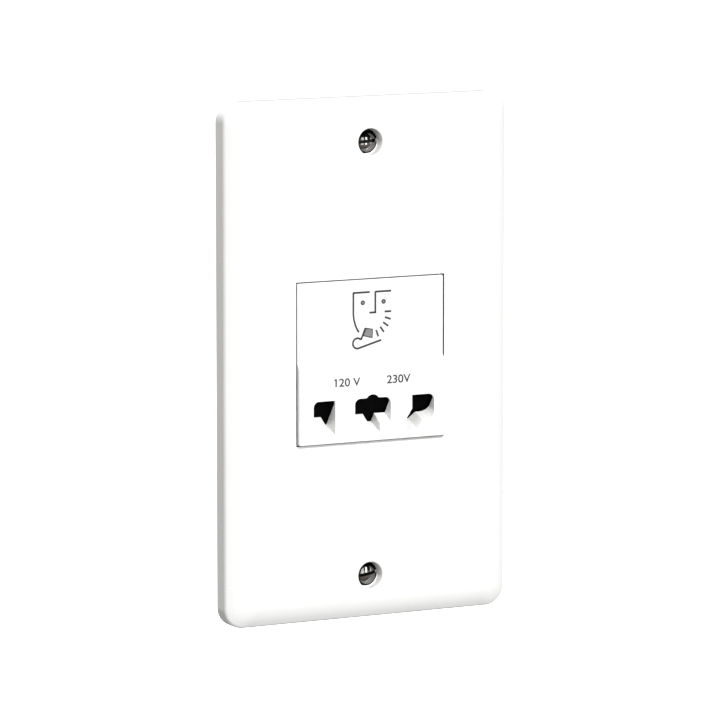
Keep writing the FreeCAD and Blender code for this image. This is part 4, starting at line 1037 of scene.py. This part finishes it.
# %% World
MIRRORED_TONES = [
    (0.0, (0.16, 0.13, 0.11, 1)),
    (0.55, (0.5, 0.44, 0.4, 1)),
    (0.75, (0.8, 0.73, 0.68, 1)),
    (0.9, (0.012, 0.012, 0.012, 1)),
]
MIRRORED_LOW, MIRRORED_HIGH = -0.6, 0.1
direction = sky.nodes.new("ShaderNodeTexCoord")
height = sky.nodes.new("ShaderNodeSeparateXYZ")
fade = sky.nodes.new("ShaderNodeMapRange")
fade.inputs["From Min"].default_value = MIRRORED_LOW
fade.inputs["From Max"].default_value = MIRRORED_HIGH
tone = sky.nodes.new("ShaderNodeValToRGB")
tone.color_ramp.elements.remove(tone.color_ramp.elements[1])
tone.color_ramp.elements[0].color = MIRRORED_TONES[0][1]
for position, colour in MIRRORED_TONES[1:]:
    tone.color_ramp.elements.new(position).color = colour
mirrored = background(WHITE_STRENGTH)
sky.links.new(direction.outputs["Generated"], height.inputs["Vector"])
sky.links.new(height.outputs["Z"], fade.inputs["Value"])
sky.links.new(fade.outputs["Result"], tone.inputs["Fac"])
sky.links.new(tone.outputs["Color"], mirrored.inputs["Color"])
lit = choose("Is Glossy Ray", background(SOFT_STRENGTH), mirrored)
whole = choose("Is Camera Ray", lit, background(WHITE_STRENGTH))
sky.links.new(whole.outputs["Shader"], sky.nodes["World Output"].inputs["Surface"])
print("world tones:", len(MIRRORED_TONES))

# %% [markdown]
# ## Lights
# Every lamp looks at the plate's middle. A lamp is placed either by its coordinates or by two angles,
# as the camera is.


# %% Lamp helpers
def away(azimuth, elevation):
    """The direction at two angles, in radians to the right of the front and up."""
    level = math.cos(elevation)
    return Vector((math.sin(azimuth) * level, -math.cos(azimuth) * level, math.sin(elevation)))


def aim(piece, place, target=(0, 0, 0)):
    """Put a lamp or a camera at a place and turn it to the target."""
    piece.location = place
    piece.rotation_euler = (Vector(target) - Vector(place)).to_track_quat("-Z", "Y").to_euler()


def lamp(name, kind, place, energy, **settings):
    """Add a lamp that looks at the plate's middle."""
    bpy.ops.object.select_all(action="DESELECT")
    bpy.ops.object.light_add(type=kind)
    made = bpy.context.object
    made.name = name
    made.data.energy = energy
    for key, value in settings.items():
        setattr(made.data, key, value)
    aim(made, place)
    return made


print("lamp helpers ready")

# %% [markdown]
# ## Key and fills
# A key from the front and above lights the face and the apertures' floors. Fills from the left, the
# right and below keep the rolled edges open, and a lamp behind draws the plate's top and side. The
# fills do not show in gloss, so that the screw heads stay clean.

# %% Key, rear lamp and fills
KEY_PLACE, KEY_ENERGY, KEY_ANGLE = (-0.02, -0.8, 0.6), 3.7, 14.0
REAR_PLACE, REAR_ENERGY, REAR_SIZE = (-0.25, 1.2, 1.8), 70.0, 1.2
# Each fill has its place, its energy and its spread in degrees.
FILLS = {
    "left_fill": ((-0.95, -0.3, 0.1), 0.95, 20.0),
    "right_fill": ((0.8, -0.55, 0.1), 0.4, 15.0),
    "low_fill": ((0.1, -0.05, -1.0), 1.15, 15.0),
}
key_spread = math.radians(KEY_ANGLE)
lamps = [
    lamp("key_light", "SUN", KEY_PLACE, KEY_ENERGY, angle=key_spread),
    lamp("rear_fill", "AREA", REAR_PLACE, REAR_ENERGY, shape="RECTANGLE", size=REAR_SIZE, size_y=REAR_SIZE),
]
for name, (place, energy, angle) in FILLS.items():
    fill = lamp(name, "SUN", place, energy, angle=math.radians(angle))
    fill.visible_glossy = False
    lamps.append(fill)
print("key, rear lamp and fills:", len(lamps))

# %% [markdown]
# ## Soft boxes
# Soft boxes in front of the plate show as bright bars in the domed screw heads. They are too weak to
# change the light on the plate much.

# %% Soft boxes
# Each soft box has its azimuth and elevation in degrees, its width, its height and its energy.
SOFT_BOXES = {
    "left_soft_box": (9.0, -2.0, 0.24, 0.6, 0.95),
    "right_soft_box": (24.0, -2.0, 0.16, 0.6, 1.5),
    "far_soft_box": (50.0, -2.0, 0.4, 0.4, 1.0),
}
SOFT_BOX_DISTANCE = 1.3
for name, (azimuth, elevation, wide, tall, energy) in SOFT_BOXES.items():
    place = away(math.radians(azimuth), math.radians(elevation)) * SOFT_BOX_DISTANCE
    lamps.append(lamp(name, "AREA", place, energy, shape="RECTANGLE", size=wide, size_y=tall))
bpy.context.scene.view_settings.view_transform = "Standard"
print("all lamps:", len(lamps))

# %% [markdown]
# ## Camera
# A long lens from the left and a little above, as in the picture of the product. The long lens keeps
# the plate's edges close to parallel.

# %% Camera
AZIMUTH = math.radians(-27.12)
ELEVATION = math.radians(8.03)
DISTANCE = 1.4644
TARGET = Vector((0.637 * MM, 0, -1.06 * MM))
LENS = 264.3
SENSOR_WIDTH = 36.0
CLIP_END = 100.0
bpy.ops.object.select_all(action="DESELECT")
bpy.ops.object.camera_add()
camera = bpy.context.object
camera.data.sensor_width = SENSOR_WIDTH
camera.data.lens = LENS
camera.data.clip_end = CLIP_END
aim(camera, TARGET + away(AZIMUTH, ELEVATION) * DISTANCE, TARGET)
bpy.context.scene.camera = camera
print("camera at", [round(value, 3) for value in camera.location])
